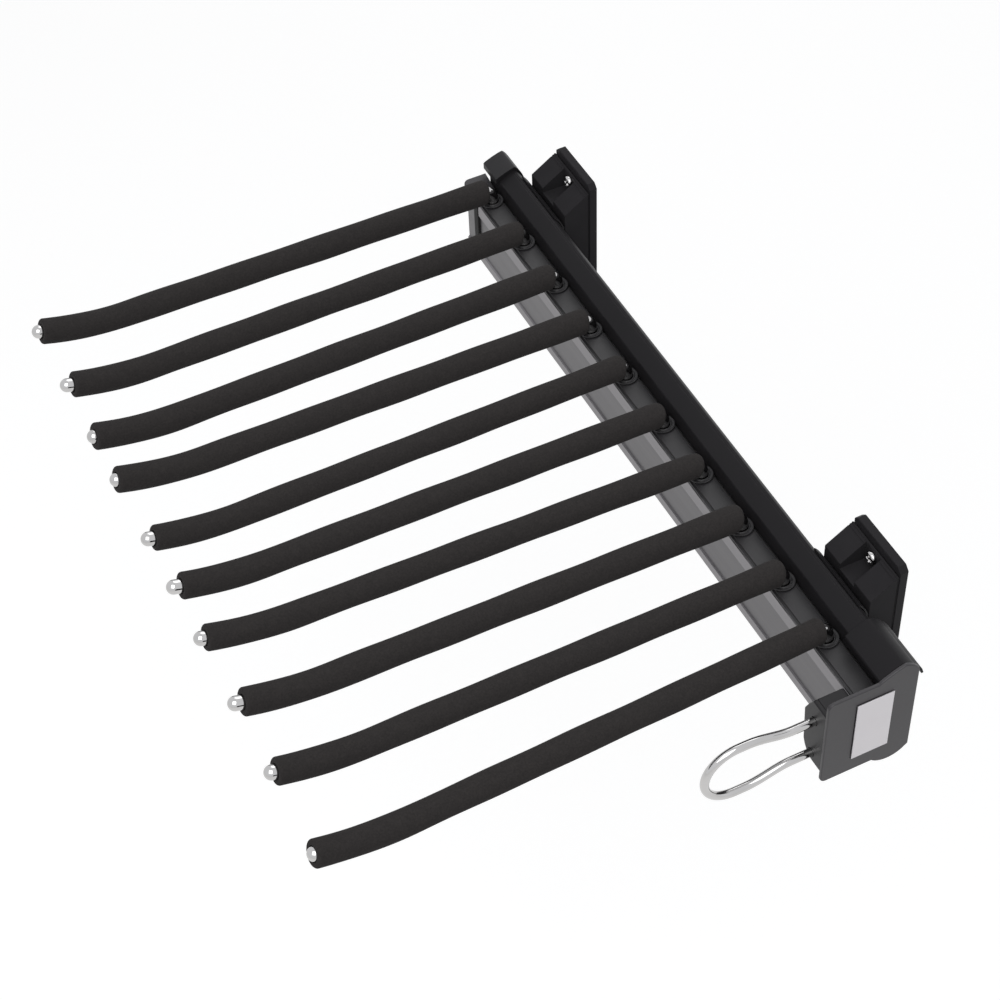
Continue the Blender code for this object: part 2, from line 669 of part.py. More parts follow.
def carriage_beam(carriage, look):
    start = CARRIAGE_FRONT_Y - CARRIAGE_Y
    end = BUMPER_FRONT_Y - GAP - CARRIAGE_Y
    mesh = prism("carriage_beam", lowered(beam_outline()), start, end)
    beam = add_object("carriage_beam", mesh, look["aluminium"], carriage)
    cells = bmesh.new()
    for cell in beam_cells():
        add_prism(cells, lowered(cell), start - PASS, end + PASS)
    cut(beam, cutter_of("beam_cells", cells, carriage))
    holes = bmesh.new()
    for rib in BEAM_RIB_Z:
        add_cylinder(holes, (PORT_X, 0, rib - SLIDE_Z), PORT_RADIUS, start - PASS, end + PASS, "Y", 8)
    top = BEAM_TOP - SLIDE_Z
    for y in arm_places():
        place = (ARM_X, y - CARRIAGE_Y, top)
        add_cylinder(holes, place, STUD_RADIUS + GAP, -2 * BEAM_TOP_WALL, PASS)
    for y in HOOK_PLACES:
        half = HOOK_HEIGHT / 2 + GAP
        slot = rectangle(BEAM_RIGHT - HOOK_REACH - GAP, BEAM_RIGHT + PASS, -half, half)
        add_prism(holes, slot, y - HOOK_LENGTH / 2 - GAP, y + HOOK_LENGTH / 2 + GAP)
    cut(beam, cutter_of("beam_holes", holes, carriage))


def lowered(outline):
    # Moves an outline of the row frame to the carriage's own height
    return [(x, z - SLIDE_Z) for x, z in outline]


def arm_strip(carriage, look):
    # A flat strip with a small step down along its left edge
    bottom = BEAM_TOP + GAP
    step_x = STRIP_LEFT + STRIP_STEP_WIDTH
    step_z = STRIP_TOP - STRIP_STEP_DROP
    outline = [
        (STRIP_RIGHT, bottom), (STRIP_RIGHT, STRIP_TOP), (step_x, STRIP_TOP),
        (step_x, step_z), (STRIP_LEFT, step_z - STRIP_STEP_SLOPE), (STRIP_LEFT, bottom),
    ]
    start = CARRIAGE_FRONT_Y - CARRIAGE_Y
    end = REAR_CAP_FRONT_Y - GAP - CARRIAGE_Y
    strip = add_object("arm_strip", prism("arm_strip", lowered(outline), start, end), look["black_plastic"],
                       carriage)
    holes = bmesh.new()
    for y in arm_places():
        place = (ARM_X, y - CARRIAGE_Y, BEAM_TOP - SLIDE_Z)
        add_cylinder(holes, place, COLLAR_NECK_RADIUS + GAP, -PASS, PASS)
    cut(strip, cutter_of("strip_holes", holes, carriage))


def rear_end(carriage, look):
    # Rubber bumper, aluminium end piece and the cap over both, whose top rises towards the rear
    start = BUMPER_FRONT_Y - CARRIAGE_Y
    end = REAR_Y - CARRIAGE_Y
    bumper_end = start + BUMPER_THICKNESS
    body = rectangle(BEAM_LEFT - BUMPER_PROUD, BEAM_RIGHT, BEAM_BOTTOM, BEAM_TOP)
    bumper = prism("rear_bumper", lowered(body), start, bumper_end)
    add_object("rear_bumper", bumper, look["rubber"], carriage)
    piece = prism("beam_end_piece", lowered(beam_outline()), bumper_end + GAP, end)
    add_object("beam_end_piece", piece, look["aluminium"], carriage)
    radius = REAR_CAP_CORNER
    front = REAR_CAP_FRONT_Y - CARRIAGE_Y
    outline = [(REAR_CAP_RIGHT, front), (REAR_CAP_RIGHT, end)]
    outline += corner((REAR_CAP_LEFT + radius, end - radius), radius, 90, 180)
    outline += [(REAR_CAP_LEFT, front)]
    low = BEAM_TOP + GAP - SLIDE_Z
    high = REAR_CAP_FRONT_TOP - SLIDE_Z
    mesh = prism("carriage_rear_cap", outline, low, high, "Z")
    slope = (REAR_CAP_REAR_TOP - REAR_CAP_FRONT_TOP) / (end - front)
    for point in mesh.vertices:
        if point.co.z > (low + high) / 2:
            point.co.z += slope * (point.co.y - front)
    add_object("carriage_rear_cap", mesh, look["grey_paint"], carriage)


# Trouser arms, each drawn about the top of its leg, pointing towards -X

def arm_line(distance):
    # The arm's centre line at a distance along its bent tip, and its slope there
    angle = distance / ARM_TIP_RADIUS
    x = -ARM_STRAIGHT - ARM_TIP_RADIUS * sin(angle)
    return x, ARM_TIP_RADIUS * (1 - cos(angle)), angle


def base_bend(steps, start_angle=0.0):
    # The bend from the leg to the arm, from an angle of 0 at the leg to 90 degrees
    radius = ARM_BASE_RADIUS
    angles = [start_angle + (pi / 2 - start_angle) * step / steps for step in range(steps + 1)]
    return [(-radius + radius * cos(a), -radius + radius * sin(a), pi / 2 - a) for a in angles]


def tip_line(steps=3):
    # The bent tip's centre line up to the place where the rod's dome starts
    return [arm_line(dome_start() * step / steps) for step in range(steps + 1)]


def dome_start():
    # The distance along the bent tip at which the rod starts to round off
    return ARM_TIP_RADIUS * asin((ARM_REACH - ARM_STRAIGHT) / ARM_TIP_RADIUS) - ROD_RADIUS


def rod_curve():
    # Stud, leg, bend, straight run and the upswept tip with its domed end
    shoulder = BEAM_TOP + GAP - ARM_Z
    points = [(0, shoulder - STUD_LENGTH, STUD_RADIUS), (0, shoulder - SHOULDER_STEP, STUD_RADIUS)]
    points += [(0, shoulder, ROD_RADIUS)]
    points += [(x, z, ROD_RADIUS) for x, z, slope in base_bend(4) + tip_line()]
    for angle in DOME_ANGLES:
        x, z, slope = arm_line(dome_start() + ROD_RADIUS * sin(radians(angle)))
        points.append((x, z, ROD_RADIUS * cos(radians(angle))))
    return tube_curve("arm_rod", [(x, 0.0, z, radius) for x, z, radius in points])


def tube_curve(name, points, resolution=2):
    # A round tube through points of X, Y, Z and radius, with filled ends
    curve = bpy.data.curves.new(name, "CURVE")
    curve.dimensions = "3D"
    curve.bevel_depth = 1.0
    curve.bevel_resolution = resolution
    curve.use_fill_caps = True
    spline = curve.splines.new("POLY")
    spline.points.add(len(points) - 1)
    for point, (x, y, z, radius) in zip(spline.points, points):
        point.co = (x, y, z, 1.0)
        point.radius = radius
    spline.use_smooth = True
    return curve


def sleeve_mesh():
    # A foam tube along the arm, from just past the bend to the start of the dome
    line = base_bend(2, acos(1 - SLEEVE_START / ARM_BASE_RADIUS)) + tip_line()
    shape = bmesh.new()
    rings = []
    for radius, stations in ((SLEEVE_RADIUS, line), (ROD_RADIUS + GAP, line[::-1])):
        for x, z, slope in stations:
            rings.append(sleeve_ring(shape, x, z, slope, radius))
    for low, high in zip(rings, rings[1:] + rings[:1]):
        for step in range(ROUND_SIDES):
            following = (step + 1) % ROUND_SIDES
            shape.faces.new((low[step], low[following], high[following], high[step]))
    return finish_mesh("arm_sleeve", shape, radians(50))


def sleeve_ring(shape, x, z, slope, radius):
    ring = []
    for step in range(ROUND_SIDES):
        angle = 2 * pi * step / ROUND_SIDES
        across = radius * cos(angle)
        up = radius * sin(angle)
        ring.append(shape.verts.new((x + up * sin(slope), across, z + up * cos(slope))))
    return ring


def collar_mesh():
    bore = ROD_RADIUS + GAP
    seat = STRIP_TOP + GAP - ARM_Z
    profile = [
        (bore, BEAM_TOP + GAP - ARM_Z), (COLLAR_NECK_RADIUS, BEAM_TOP + GAP - ARM_Z),
        (COLLAR_NECK_RADIUS, seat), (COLLAR_RADIUS, seat),
        (COLLAR_RADIUS, seat + COLLAR_HEIGHT), (bore, seat + COLLAR_HEIGHT),
    ]
    shape = bmesh.new()
    add_turned(shape, profile, (0, 0, 0))
    return finish_mesh("arm_collar", shape, radians(40))


def build_arms(carriage, look):
    rods = rod_curve()
    sleeves = sleeve_mesh()
    collars = collar_mesh()
    for index, y in enumerate(arm_places()):
        place = (ARM_X, y - CARRIAGE_Y, ARM_Z - SLIDE_Z)
        turn = radians(-ARM_TURNS[index])
        number = "%02d" % (index + 1)
        add_object("arm_rod_" + number, rods, look["chrome"], carriage, place, turn)
        add_object("arm_sleeve_" + number, sleeves, look["foam"], carriage, place, turn)
        add_object("arm_collar_" + number, collars, look["black_plastic"], carriage, place)


def arm_stud_bar(carriage, look):
    # A threaded steel bar in the beam's upper cell, which all the studs screw into
    top = BEAM_TOP - BEAM_TOP_WALL - GAP - SLIDE_Z
    outline = rectangle(ARM_X - STUD_BAR_WIDTH / 2, ARM_X + STUD_BAR_WIDTH / 2, top - STUD_BAR_THICKNESS, top)
    start = STUD_BAR_FRONT_Y - CARRIAGE_Y
    end = BUMPER_FRONT_Y - GAP - CARRIAGE_Y
    bar = add_object("arm_stud_bar", prism("arm_stud_bar", outline, start, end), look["zinc_steel"], carriage)
    holes = bmesh.new()
    for y in arm_places():
        add_cylinder(holes, (ARM_X, y - CARRIAGE_Y, top), STUD_RADIUS + GAP, -PASS, PASS, sides=8)
    cut(bar, cutter_of("stud_bar_holes", holes, carriage))


# Front plate, hood, label and handle

def front_plate(carriage, look):
    # A flat left part and an arched right part that follows the housing at top and bottom
    radius = PLATE_CORNER
    outline = corner((PLATE_LEFT + radius, PLATE_TOP - radius), radius, 180, 90)
    outline += [(HOOD_LEFT - PLATE_ARCH_LEAD, PLATE_TOP)]
    outline += leaning_arch(HOOD_LEFT, PLATE_RIGHT - GAP, PLATE_ARCH)
    outline += [(PLATE_RIGHT, PLATE_SIDE_TOP), (PLATE_RIGHT, PLATE_SIDE_BOTTOM)]
    outline += arch(HOOD_LEFT, PLATE_LOWER_RIGHT, PLATE_BOTTOM, -PLATE_LOWER_RISE)[::-1]
    outline += corner((PLATE_LEFT + radius, PLATE_BOTTOM + radius), radius, 270, 180)
    start = FRONT_PLATE_Y - CARRIAGE_Y
    mesh = prism("front_plate", lowered(outline), start, start + FRONT_PLATE_THICKNESS)
    plate = add_object("front_plate", mesh, look["grey_paint"], carriage)
    pegs = bmesh.new()
    for rib in BEAM_RIB_Z:
        add_cylinder(pegs, (PORT_X, start, rib - SLIDE_Z), PORT_RADIUS - GAP, 0.001, PEG_LENGTH, "Y", 8)
    cut(plate, cutter_of("plate_pegs", pegs, carriage), "UNION")


def front_hood(carriage, look):
    # A short arched cover over the housing's front end, with a hooked lip on its wall side
    outline = [(HOOD_LEFT, HOOD_BOTTOM)] + leaning_arch(HOOD_LEFT, HOOD_RIGHT, HOOD_TOP)
    outline += HOOD_LIP
    outline += [(HOOD_LIP[-1][0], HOOD_CAVITY_BOTTOM), (HOOD_CAVITY_LEFT, HOOD_CAVITY_BOTTOM)]
    outline += [(HOOD_CAVITY_LEFT, HOOD_BOTTOM)]
    start = CARRIAGE_FRONT_Y - CARRIAGE_Y
    end = FRONT_PLATE_Y + HOOD_LENGTH - CARRIAGE_Y
    mesh = prism("front_hood", lowered(outline), start, end, smooth_angle=radians(25))
    hood = add_object("front_hood", mesh, look["black_paint"], carriage)
    over, under = housing_outline(GAP)
    cavity = bmesh.new()
    add_prism(cavity, lowered(over + under[::-1]), start + HOOD_END_WALL, end + PASS)
    cut(hood, cutter_of("hood_cavity", cavity, carriage))


def label_plate(carriage, look):
    start = LABEL_FACE_Y - CARRIAGE_Y
    end = FRONT_PLATE_Y - GAP - CARRIAGE_Y
    outline = lowered(rectangle(LABEL_LEFT, LABEL_RIGHT, LABEL_BOTTOM, LABEL_TOP))
    mesh = prism("label_plate", outline, start, end)
    label = add_object("label_plate", mesh, look["label_metal"], carriage)
    soften(label, LABEL_EDGE)


def handle_block(carriage, look):
    # The block behind the plate's left side, drawn in Y and Z, with the loop's two blind holes
    back = [(0, BEAM_TOP)] + list(HANDLE_BLOCK_BACK) + [(0, HANDLE_BLOCK_BACK[-1][1])]
    outline = [(CARRIAGE_FRONT_Y + depth - CARRIAGE_Y, z - SLIDE_Z) for depth, z in back]
    right = BEAM_LEFT - GAP
    mesh = prism("handle_block", outline, HANDLE_BLOCK_LEFT, right, "X")
    block = add_object("handle_block", mesh, look["grey_paint"], carriage)
    soften(block, HANDLE_BLOCK_EDGE)
    holes = bmesh.new()
    for side in (1, -1):
        height = LOOP_Z + side * LOOP_SPREAD - SLIDE_Z
        place = (0, LOOP_Y - CARRIAGE_Y, height)
        add_cylinder(holes, place, LOOP_WIRE_RADIUS + GAP, HANDLE_BLOCK_LEFT - PASS, LOOP_ROOT_X + GAP, "X")
    cut(block, cutter_of("handle_block_holes", holes, carriage))


def loop_half(steps=5):
    # The upper wire as X and height above the loop's middle, widening smoothly to the round end
    points = [(LOOP_ROOT_X, LOOP_SPREAD), (HANDLE_BLOCK_LEFT, LOOP_SPREAD)]
    for step in range(steps + 1):
        share = step / steps
        x = LOOP_STRAIGHT_X + (LOOP_WIDE_X - LOOP_STRAIGHT_X) * share
        rise = (LOOP_END_RADIUS - LOOP_SPREAD) * (1 - cos(pi * share)) / 2
        points.append((x, LOOP_SPREAD + rise))
    return points


def loop_handle(carriage, look):
    upper = loop_half()
    end_steps = 10
    angles = [pi / 2 + pi * step / end_steps for step in range(end_steps + 1)]
    end = [(LOOP_END_X + LOOP_END_RADIUS * cos(a), LOOP_END_RADIUS * sin(a)) for a in angles]
    lower = [(x, -z) for x, z in reversed(upper)]
    line = upper + end + lower
    points = [(x, LOOP_Y - CARRIAGE_Y, LOOP_Z + z - SLIDE_Z, LOOP_WIRE_RADIUS) for x, z in line]
    add_object("loop_handle", tube_curve("loop_handle", points), look["chrome"], carriage)


def build_carriage(look):
    carriage = add_empty("carriage_axis", (0.0, CARRIAGE_Y, SLIDE_Z))
    carriage_beam(carriage, look)
    arm_strip(carriage, look)
    rear_end(carriage, look)
    build_arms(carriage, look)
    arm_stud_bar(carriage, look)
    front_plate(carriage, look)
    front_hood(carriage, look)
    label_plate(carriage, look)
    handle_block(carriage, look)
    loop_handle(carriage, look)
    return carriage


clear_scene()
look = rack_materials()
build_bracket("front", 0.0, look)
build_bracket("rear", REAR_BRACKET_Y, look)
rail_housing(look)
rail_rear_cap(look)
carriage_empty = build_carriage(look)
build_slide(carriage_empty, look)
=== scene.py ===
import math

import bmesh
import bpy
import numpy as np
from mathutils import Matrix, Vector


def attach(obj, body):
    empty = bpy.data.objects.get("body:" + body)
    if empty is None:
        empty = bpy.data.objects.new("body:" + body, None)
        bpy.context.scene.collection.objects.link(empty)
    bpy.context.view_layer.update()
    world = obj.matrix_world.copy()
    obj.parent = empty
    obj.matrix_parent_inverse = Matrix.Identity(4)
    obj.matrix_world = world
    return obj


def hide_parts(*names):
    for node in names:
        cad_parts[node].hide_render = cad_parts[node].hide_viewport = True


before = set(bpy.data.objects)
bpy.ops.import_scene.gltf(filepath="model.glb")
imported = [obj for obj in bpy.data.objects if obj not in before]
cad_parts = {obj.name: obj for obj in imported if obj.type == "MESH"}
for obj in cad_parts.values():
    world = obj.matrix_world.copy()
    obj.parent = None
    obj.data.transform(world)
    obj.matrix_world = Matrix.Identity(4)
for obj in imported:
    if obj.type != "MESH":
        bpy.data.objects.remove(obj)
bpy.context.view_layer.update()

mm = 0.001
tau = 2 * math.pi
gap = 0.3  # between neighbouring pieces, as in the solids
slideZ = -15.0  # the height of the slide and of its screws
past = 10.0  # how far a cutter reaches past the faces that it opens
print("frame loaded")


# Finishes

class Wire:
    # A node's output. Sums and products of wires add Math nodes.
    def __init__(self, finish, socket):
        self.finish = finish
        self.socket = socket

    def maths(self, operation, first, second):
        return self.finish.node("ShaderNodeMath", {"operation": operation}, {0: first, 1: second})

    def __add__(self, other):
        return self.maths("ADD", self, other)

    def __radd__(self, other):
        return self.maths("ADD", other, self)

    def __sub__(self, other):
        return self.maths("SUBTRACT", self, other)

    def __rsub__(self, other):
        return self.maths("SUBTRACT", other, self)

    def __mul__(self, other):
        return self.maths("MULTIPLY", self, other)

    def __rmul__(self, other):
        return self.maths("MULTIPLY", other, self)


class Finish:
    # One material. Constants go on the shader's own sockets.
    def __init__(self, name, **constants):
        self.material = bpy.data.materials.new(name)
        self.material.use_nodes = True
        self.tree = self.material.node_tree
        self.shader = self.tree.nodes["Principled BSDF"]
        for socket, value in constants.items():
            self.shader.inputs[socket.replace("_", " ")].default_value = value
        self.place = self.node("ShaderNodeTexCoord", output="Object")

    def node(self, kind, settings=None, sockets=None, output=0):
        made = self.tree.nodes.new(kind)
        for key, value in (settings or {}).items():
            if key == "stops":
                ramp = made.color_ramp
                while len(ramp.elements) < len(value):
                    ramp.elements.new(0.5)
                for element, (position, shade) in zip(ramp.elements, value):
                    element.position = position
                    element.color = (shade, shade, shade, 1.0)
            else:
                setattr(made, key, value)
        for key, value in (sockets or {}).items():
            if isinstance(value, Wire):
                self.tree.links.new(value.socket, made.inputs[key])
            else:
                made.inputs[key].default_value = value
        return Wire(self, made.outputs[output])

    def grain(self, scale, detail=3.0, stretch=(1.0, 1.0, 1.0), roughness=0.5):
        # Noise of a given number of grains to the metre, stretched along an axis
        spread = self.node("ShaderNodeMapping", None, {"Vector": self.place, "Scale": stretch})
        sockets = {"Vector": spread, "Scale": scale, "Detail": detail, "Roughness": roughness}
        return self.node("ShaderNodeTexNoise", None, sockets, "Fac")

    def steps(self, value, stops):
        return self.node("ShaderNodeValToRGB", {"stops": stops}, {"Fac": value})

    def between(self, factor, first, second):
        sockets = {0: factor, 6: (*first, 1.0), 7: (*second, 1.0)}
        return self.node("ShaderNodeMix", {"data_type": "RGBA"}, sockets, 2)

    def feed(self, socket, wire):
        self.tree.links.new(wire.socket, self.shader.inputs[socket])

    def whiteRays(self):
        # One for the rays by which the camera, metal or glass see the background
        rays = ("Is Camera Ray", "Is Glossy Ray", "Is Transmission Ray")
        seen, mirrored, through = [self.node("ShaderNodeLightPath", output=ray) for ray in rays]
        return seen + mirrored + through

    def relief(self, height, depth, strength=1.0):
        # Small relief of a given depth in millimetres
        sockets = {"Strength": strength, "Distance": depth * mm, "Height": height}
        self.feed("Normal", self.node("ShaderNodeBump", None, sockets))


foamLook = {
    "dark": (0.0240, 0.0217, 0.0214), "light": (0.0347, 0.0312, 0.0304),
    "cellsPerMetre": 2100.0, "patchesPerMetre": 260.0, "cellDepth": 0.35,
}


def foamFinish(look):
    # Closed-cell foam: matte, with fine open pores and faint patches
    finish = Finish("foam", Roughness=0.93, Specular_IOR_Level=0.25)
    cells = finish.node("ShaderNodeTexVoronoi", None,
                        {"Vector": finish.place, "Scale": look["cellsPerMetre"]}, "Distance")
    pores = finish.grain(look["cellsPerMetre"] * 0.45, 4.0)
    patches = finish.grain(look["patchesPerMetre"], 2.0)
    shade = finish.steps(patches * 0.3 + pores * 0.7, [(0.36, 0.0), (0.66, 1.0)])
    finish.feed("Base Color", finish.between(shade, look["dark"], look["light"]))
    finish.relief(cells * 0.5 + pores, look["cellDepth"], 0.55)
    return finish.material


mouldedLook = {
    "dark": (0.0230, 0.0220, 0.0240), "light": (0.0345, 0.0331, 0.0355), "gloss": 0.03,
    "grainsPerMetre": 2600.0, "grainDepth": 0.05,
}
stripLook = dict(mouldedLook, dark=(0.014, 0.0132, 0.0145), light=(0.021, 0.0200, 0.0217), gloss=0.45)


def mouldedFinish(name, look):
    # Injection-moulded plastic with a fine spark-eroded grain
    finish = Finish(name, Specular_IOR_Level=look["gloss"])
    grains = finish.grain(look["grainsPerMetre"], 2.0)
    patches = finish.grain(70.0, 3.0)
    finish.feed("Base Color", finish.between(patches, look["dark"], look["light"]))
    finish.feed("Roughness", 0.42 + patches * 0.14)
    finish.relief(grains, look["grainDepth"], 0.5)
    return finish.material


paintLook = {
    "blackDark": (0.0130, 0.0123, 0.0136), "blackLight": (0.0195, 0.0185, 0.0201), "blackGloss": 0.10,
    "wallDark": (0.0200, 0.0190, 0.0209), "wallLight": (0.0300, 0.0285, 0.0310), "wallGloss": 0.06,
    "greyDark": (0.033, 0.0307, 0.0342), "greyLight": (0.047, 0.0441, 0.0482), "greyGloss": 0.45,
    "blockDark": (0.012, 0.0112, 0.0124), "blockLight": (0.018, 0.0169, 0.0185), "blockGloss": 0.26,
    "speckPerMetre": 1500.0, "wavePerMetre": 420.0, "waveDepth": 0.06,
}


def paintFinish(name, shade, sheen):
    # Powder coat: satin, with fine specks over a low orange peel
    dark, light = paintLook[shade + "Dark"], paintLook[shade + "Light"]
    finish = Finish(name, Specular_IOR_Level=paintLook[shade + "Gloss"])
    specks = finish.grain(paintLook["speckPerMetre"], 2.0)
    waves = finish.grain(paintLook["wavePerMetre"], 1.0)
    cloud = finish.grain(24.0, 3.0)
    finish.feed("Base Color", finish.between(cloud * 0.7 + specks * 0.3, dark, light))
    finish.feed("Roughness", sheen + specks * 0.10 + cloud * 0.06)
    finish.relief(waves * 0.8 + specks * 0.35, paintLook["waveDepth"], 0.35)
    return finish.material


aluminiumLook = {
    "recess": (0.103, 0.0997, 0.104), "band": (0.205, 0.197, 0.205),
    "recessTop": -1.6, "recessBottom": -31.4,
    "linesPerMetre": 1400.0, "lineStretch": (1.0, 0.012, 1.0),
}


def aluminiumFinish(look):
    # Anodised extrusion: fine drawing lines along its length and a recess coloured darker than the bands
    finish = Finish("anodised_aluminium", Metallic=1.0)
    lines = finish.grain(look["linesPerMetre"], 3.0, look["lineStretch"])
    broad = finish.grain(look["linesPerMetre"] * 0.12, 2.0, look["lineStretch"])
    height = finish.node("ShaderNodeSeparateXYZ", None, {0: finish.place}, "Z")
    middle = (look["recessTop"] + look["recessBottom"]) / 2 * mm
    half = (look["recessTop"] - look["recessBottom"]) / 2 * mm
    away = finish.node("ShaderNodeMath", {"operation": "ABSOLUTE"}, {0: height - middle})
    band = finish.steps(away * (0.5 / half), [(0.485, 0.0), (0.5, 1.0)])
    finish.feed("Base Color", finish.between(band * 0.86 + lines * 0.14, look["recess"], look["band"]))
    finish.feed("Roughness", 0.27 + lines * 0.14 + broad * 0.08)
    finish.relief(lines, 0.02, 0.4)
    return finish.material


def zincFinish():
    # Bright zinc on rolled steel, with a faint cloudy bloom
    finish = Finish("zinc_steel", Metallic=1.0)
    bloom = finish.grain(180.0, 4.0)
    rolled = finish.grain(900.0, 2.0, (1.0, 0.05, 1.0))
    finish.feed("Base Color", finish.between(bloom, (0.29, 0.295, 0.31), (0.43, 0.43, 0.44)))
    finish.feed("Roughness", 0.26 + bloom * 0.16 + rolled * 0.06)
    finish.relief(rolled, 0.02, 0.3)
    return finish.material


def chromeFinish():
    # Polished chrome plate with faint handling smears
    finish = Finish("chrome", Metallic=1.0)
    smears = finish.grain(60.0, 4.0)
    finish.feed("Base Color", finish.between(smears, (0.44, 0.435, 0.43), (0.60, 0.59, 0.585)))
    finish.feed("Roughness", 0.035 + smears * 0.07)
    return finish.material


def rubberFinish():
    # Matte black bumper rubber with a dusting of bloom
    finish = Finish("rubber", Specular_IOR_Level=0.35)
    bloom = finish.grain(320.0, 4.0)
    finish.feed("Base Color", finish.between(bloom, (0.008, 0.008, 0.008), (0.02, 0.02, 0.02)))
    finish.feed("Roughness", 0.66 + bloom * 0.2)
    finish.relief(finish.grain(1800.0, 2.0), 0.05, 0.4)
    return finish.material


def plateFinish():
    # Satin metal of the bare name plate, brushed across its width
    finish = Finish("satin_plate", Metallic=0.75)
    lines = finish.grain(1700.0, 3.0, (0.02, 1.0, 1.0))
    cloud = finish.grain(40.0, 2.0)
    shade = finish.between(lines * 0.5 + cloud * 0.5, (0.60, 0.58, 0.60), (0.69, 0.67, 0.69))
    finish.feed("Base Color", shade)
    finish.feed("Roughness", 0.30 + lines * 0.16)
    finish.relief(lines, 0.015, 0.4)
    return finish.material


finishes = {
    "foam": foamFinish(foamLook),
    "black_plastic": mouldedFinish("moulded_plastic", mouldedLook),
    "black_paint": paintFinish("black_coat", "black", 0.38),
    "grey_paint": paintFinish("grey_coat", "grey", 0.36),
    "aluminium": aluminiumFinish(aluminiumLook),
    "zinc_steel": zincFinish(),
    "chrome": chromeFinish(),
    "rubber": rubberFinish(),
    "label_metal": plateFinish(),
}
stripFinish = mouldedFinish("strip_plastic", stripLook)
blockFinish = paintFinish("block_coat", "block", 0.38)
wallFinish = paintFinish("wall_coat", "wall", 0.42)
print("finishes made")


# Surfaces

def unit(vectors):
    length = np.linalg.norm(vectors, axis=-1, keepdims=True)
    return vectors / np.maximum(length, 1e-9)


def leftTurning(outline):
    # Counter-clockwise order, told by the area: half the sum of x z' - x' z
    points = np.asarray(outline, float)
    after = np.roll(points, -1, 0)
    area = np.sum(points[:, 0] * after[:, 1] - after[:, 0] * points[:, 1])
    return points if area > 0 else points[::-1]


def arch(left, right, spring, rise, steps=48):
    # Circular arch: radius = (h h + rise rise) / (2 rise) for half span h; a negative rise hangs
    half = (right - left) / 2
    radius = (half * half + rise * rise) / (2 * abs(rise))
    side = 1 if rise > 0 else -1
    angle = np.linspace(-1, 1, steps + 1) * math.asin(half / radius)
    across = (left + right) / 2 + radius * np.sin(angle)
    return np.column_stack([across, spring + rise - side * radius * (1 - np.cos(angle))])


def roundCorners(outline, radius, steps=4):
    # Each corner p becomes an arc about p + bisector * r / sin(half angle). A list gives each corner its r.
    rows = np.column_stack([np.asarray(outline, float), np.broadcast_to(radius, len(outline))])
    rows = leftTurning(rows)
    points, radius = rows[:, :2], rows[:, 2:]
    toBefore = unit(np.roll(points, 1, 0) - points)
    toAfter = unit(np.roll(points, -1, 0) - points)
    opening = np.arccos(np.clip((toBefore * toAfter).sum(1), -1, 1))[:, None]
    centre = points + unit(toBefore + toAfter) * radius / np.sin(opening / 2)
    reach = radius / np.tan(opening / 2)
    first = (points + toBefore * reach - centre)[:, None]
    last = (points + toAfter * reach - centre)[:, None]
    sweep = np.maximum(np.pi - opening, 1e-4)[:, None]
    share = np.linspace(0, 1, steps + 1)[None, :, None]
    arcs = (np.sin((1 - share) * sweep) * first + np.sin(share * sweep) * last) / np.sin(sweep)
    line = (centre[:, None] + arcs).reshape(-1, 2)
    return line[np.linalg.norm(line - np.roll(line, 1, 0), axis=1) > 1e-5]


def grown(outline, amount):
    # Every edge moves out by the amount: p + (n + n') amount / (1 + n . n')
    edge = unit(np.roll(outline, -1, 0) - outline)
    normal = np.column_stack([edge[:, 1], -edge[:, 0]])
    before = np.roll(normal, 1, 0)
    return outline + (normal + before) * amount / (1 + (normal * before).sum(1, keepdims=True))


def skin(rings, loop=False):
    # Quads between neighbouring rings of points; the two ends are filled, or joined as a loop
    count, around = rings.shape[:2]
    index = np.arange(count * around).reshape(count, around)
    low = index if loop else index[:-1]
    high = np.roll(index, -1, 0) if loop else index[1:]
    quads = np.stack([low, np.roll(low, -1, 1), np.roll(high, -1, 1), high], -1).reshape(-1, 4).tolist()
    ends = [] if loop else [index[0][::-1].tolist(), index[-1].tolist()]
    return rings.reshape(-1, 3), quads + ends


axesOf = {"X": [2, 0, 1], "Y": [0, 2, 1], "Z": [0, 1, 2]}


def layered(outline, insets, depths, along):
    # One ring for each inset and depth. Along Y the outline is (X, Z), along X (Y, Z), along Z (X, Y).
    outline = leftTurning(outline)
    rings = [np.column_stack([grown(outline, -inset), np.full(len(outline), depth)])
             for inset, depth in zip(insets, depths)]
    return skin(np.stack(rings)[:, :, axesOf[along]])


def bar(outline, start, end, along="Y", edges=(0.3, 0.3), steps=3):
    # An outline carried from start to end; rounded ends have inset r (1 - sin t) at depth r (1 - cos t)
    t = np.linspace(0, math.pi / 2, steps + 1)
    near, far = edges
    insets = np.concatenate([near * (1 - np.sin(t)), far * (1 - np.sin(t[::-1]))])
    depths = np.concatenate([start + near * (1 - np.cos(t)), end - far * (1 - np.cos(t[::-1]))])
    return layered(outline, insets, depths, along)


def turned(profile, centre, along="Z", sides=48, loop=False):
    # (radius, height) points turned about an axis: (r cos a, r sin a, h)
    profile = np.asarray(profile, float)
    angle = np.arange(sides) * tau / sides
    radius, height = profile[:, :1], profile[:, 1:]
    rings = np.stack([radius * np.cos(angle), radius * np.sin(angle), height + 0 * angle], -1)
    return skin(rings[:, :, axesOf[along]] + np.asarray(centre, float), loop)


def pin(radius, start, end, centre, along="Z", sides=24):
    return turned([(0, start), (radius, start), (radius, end), (0, end)], centre, along, sides)


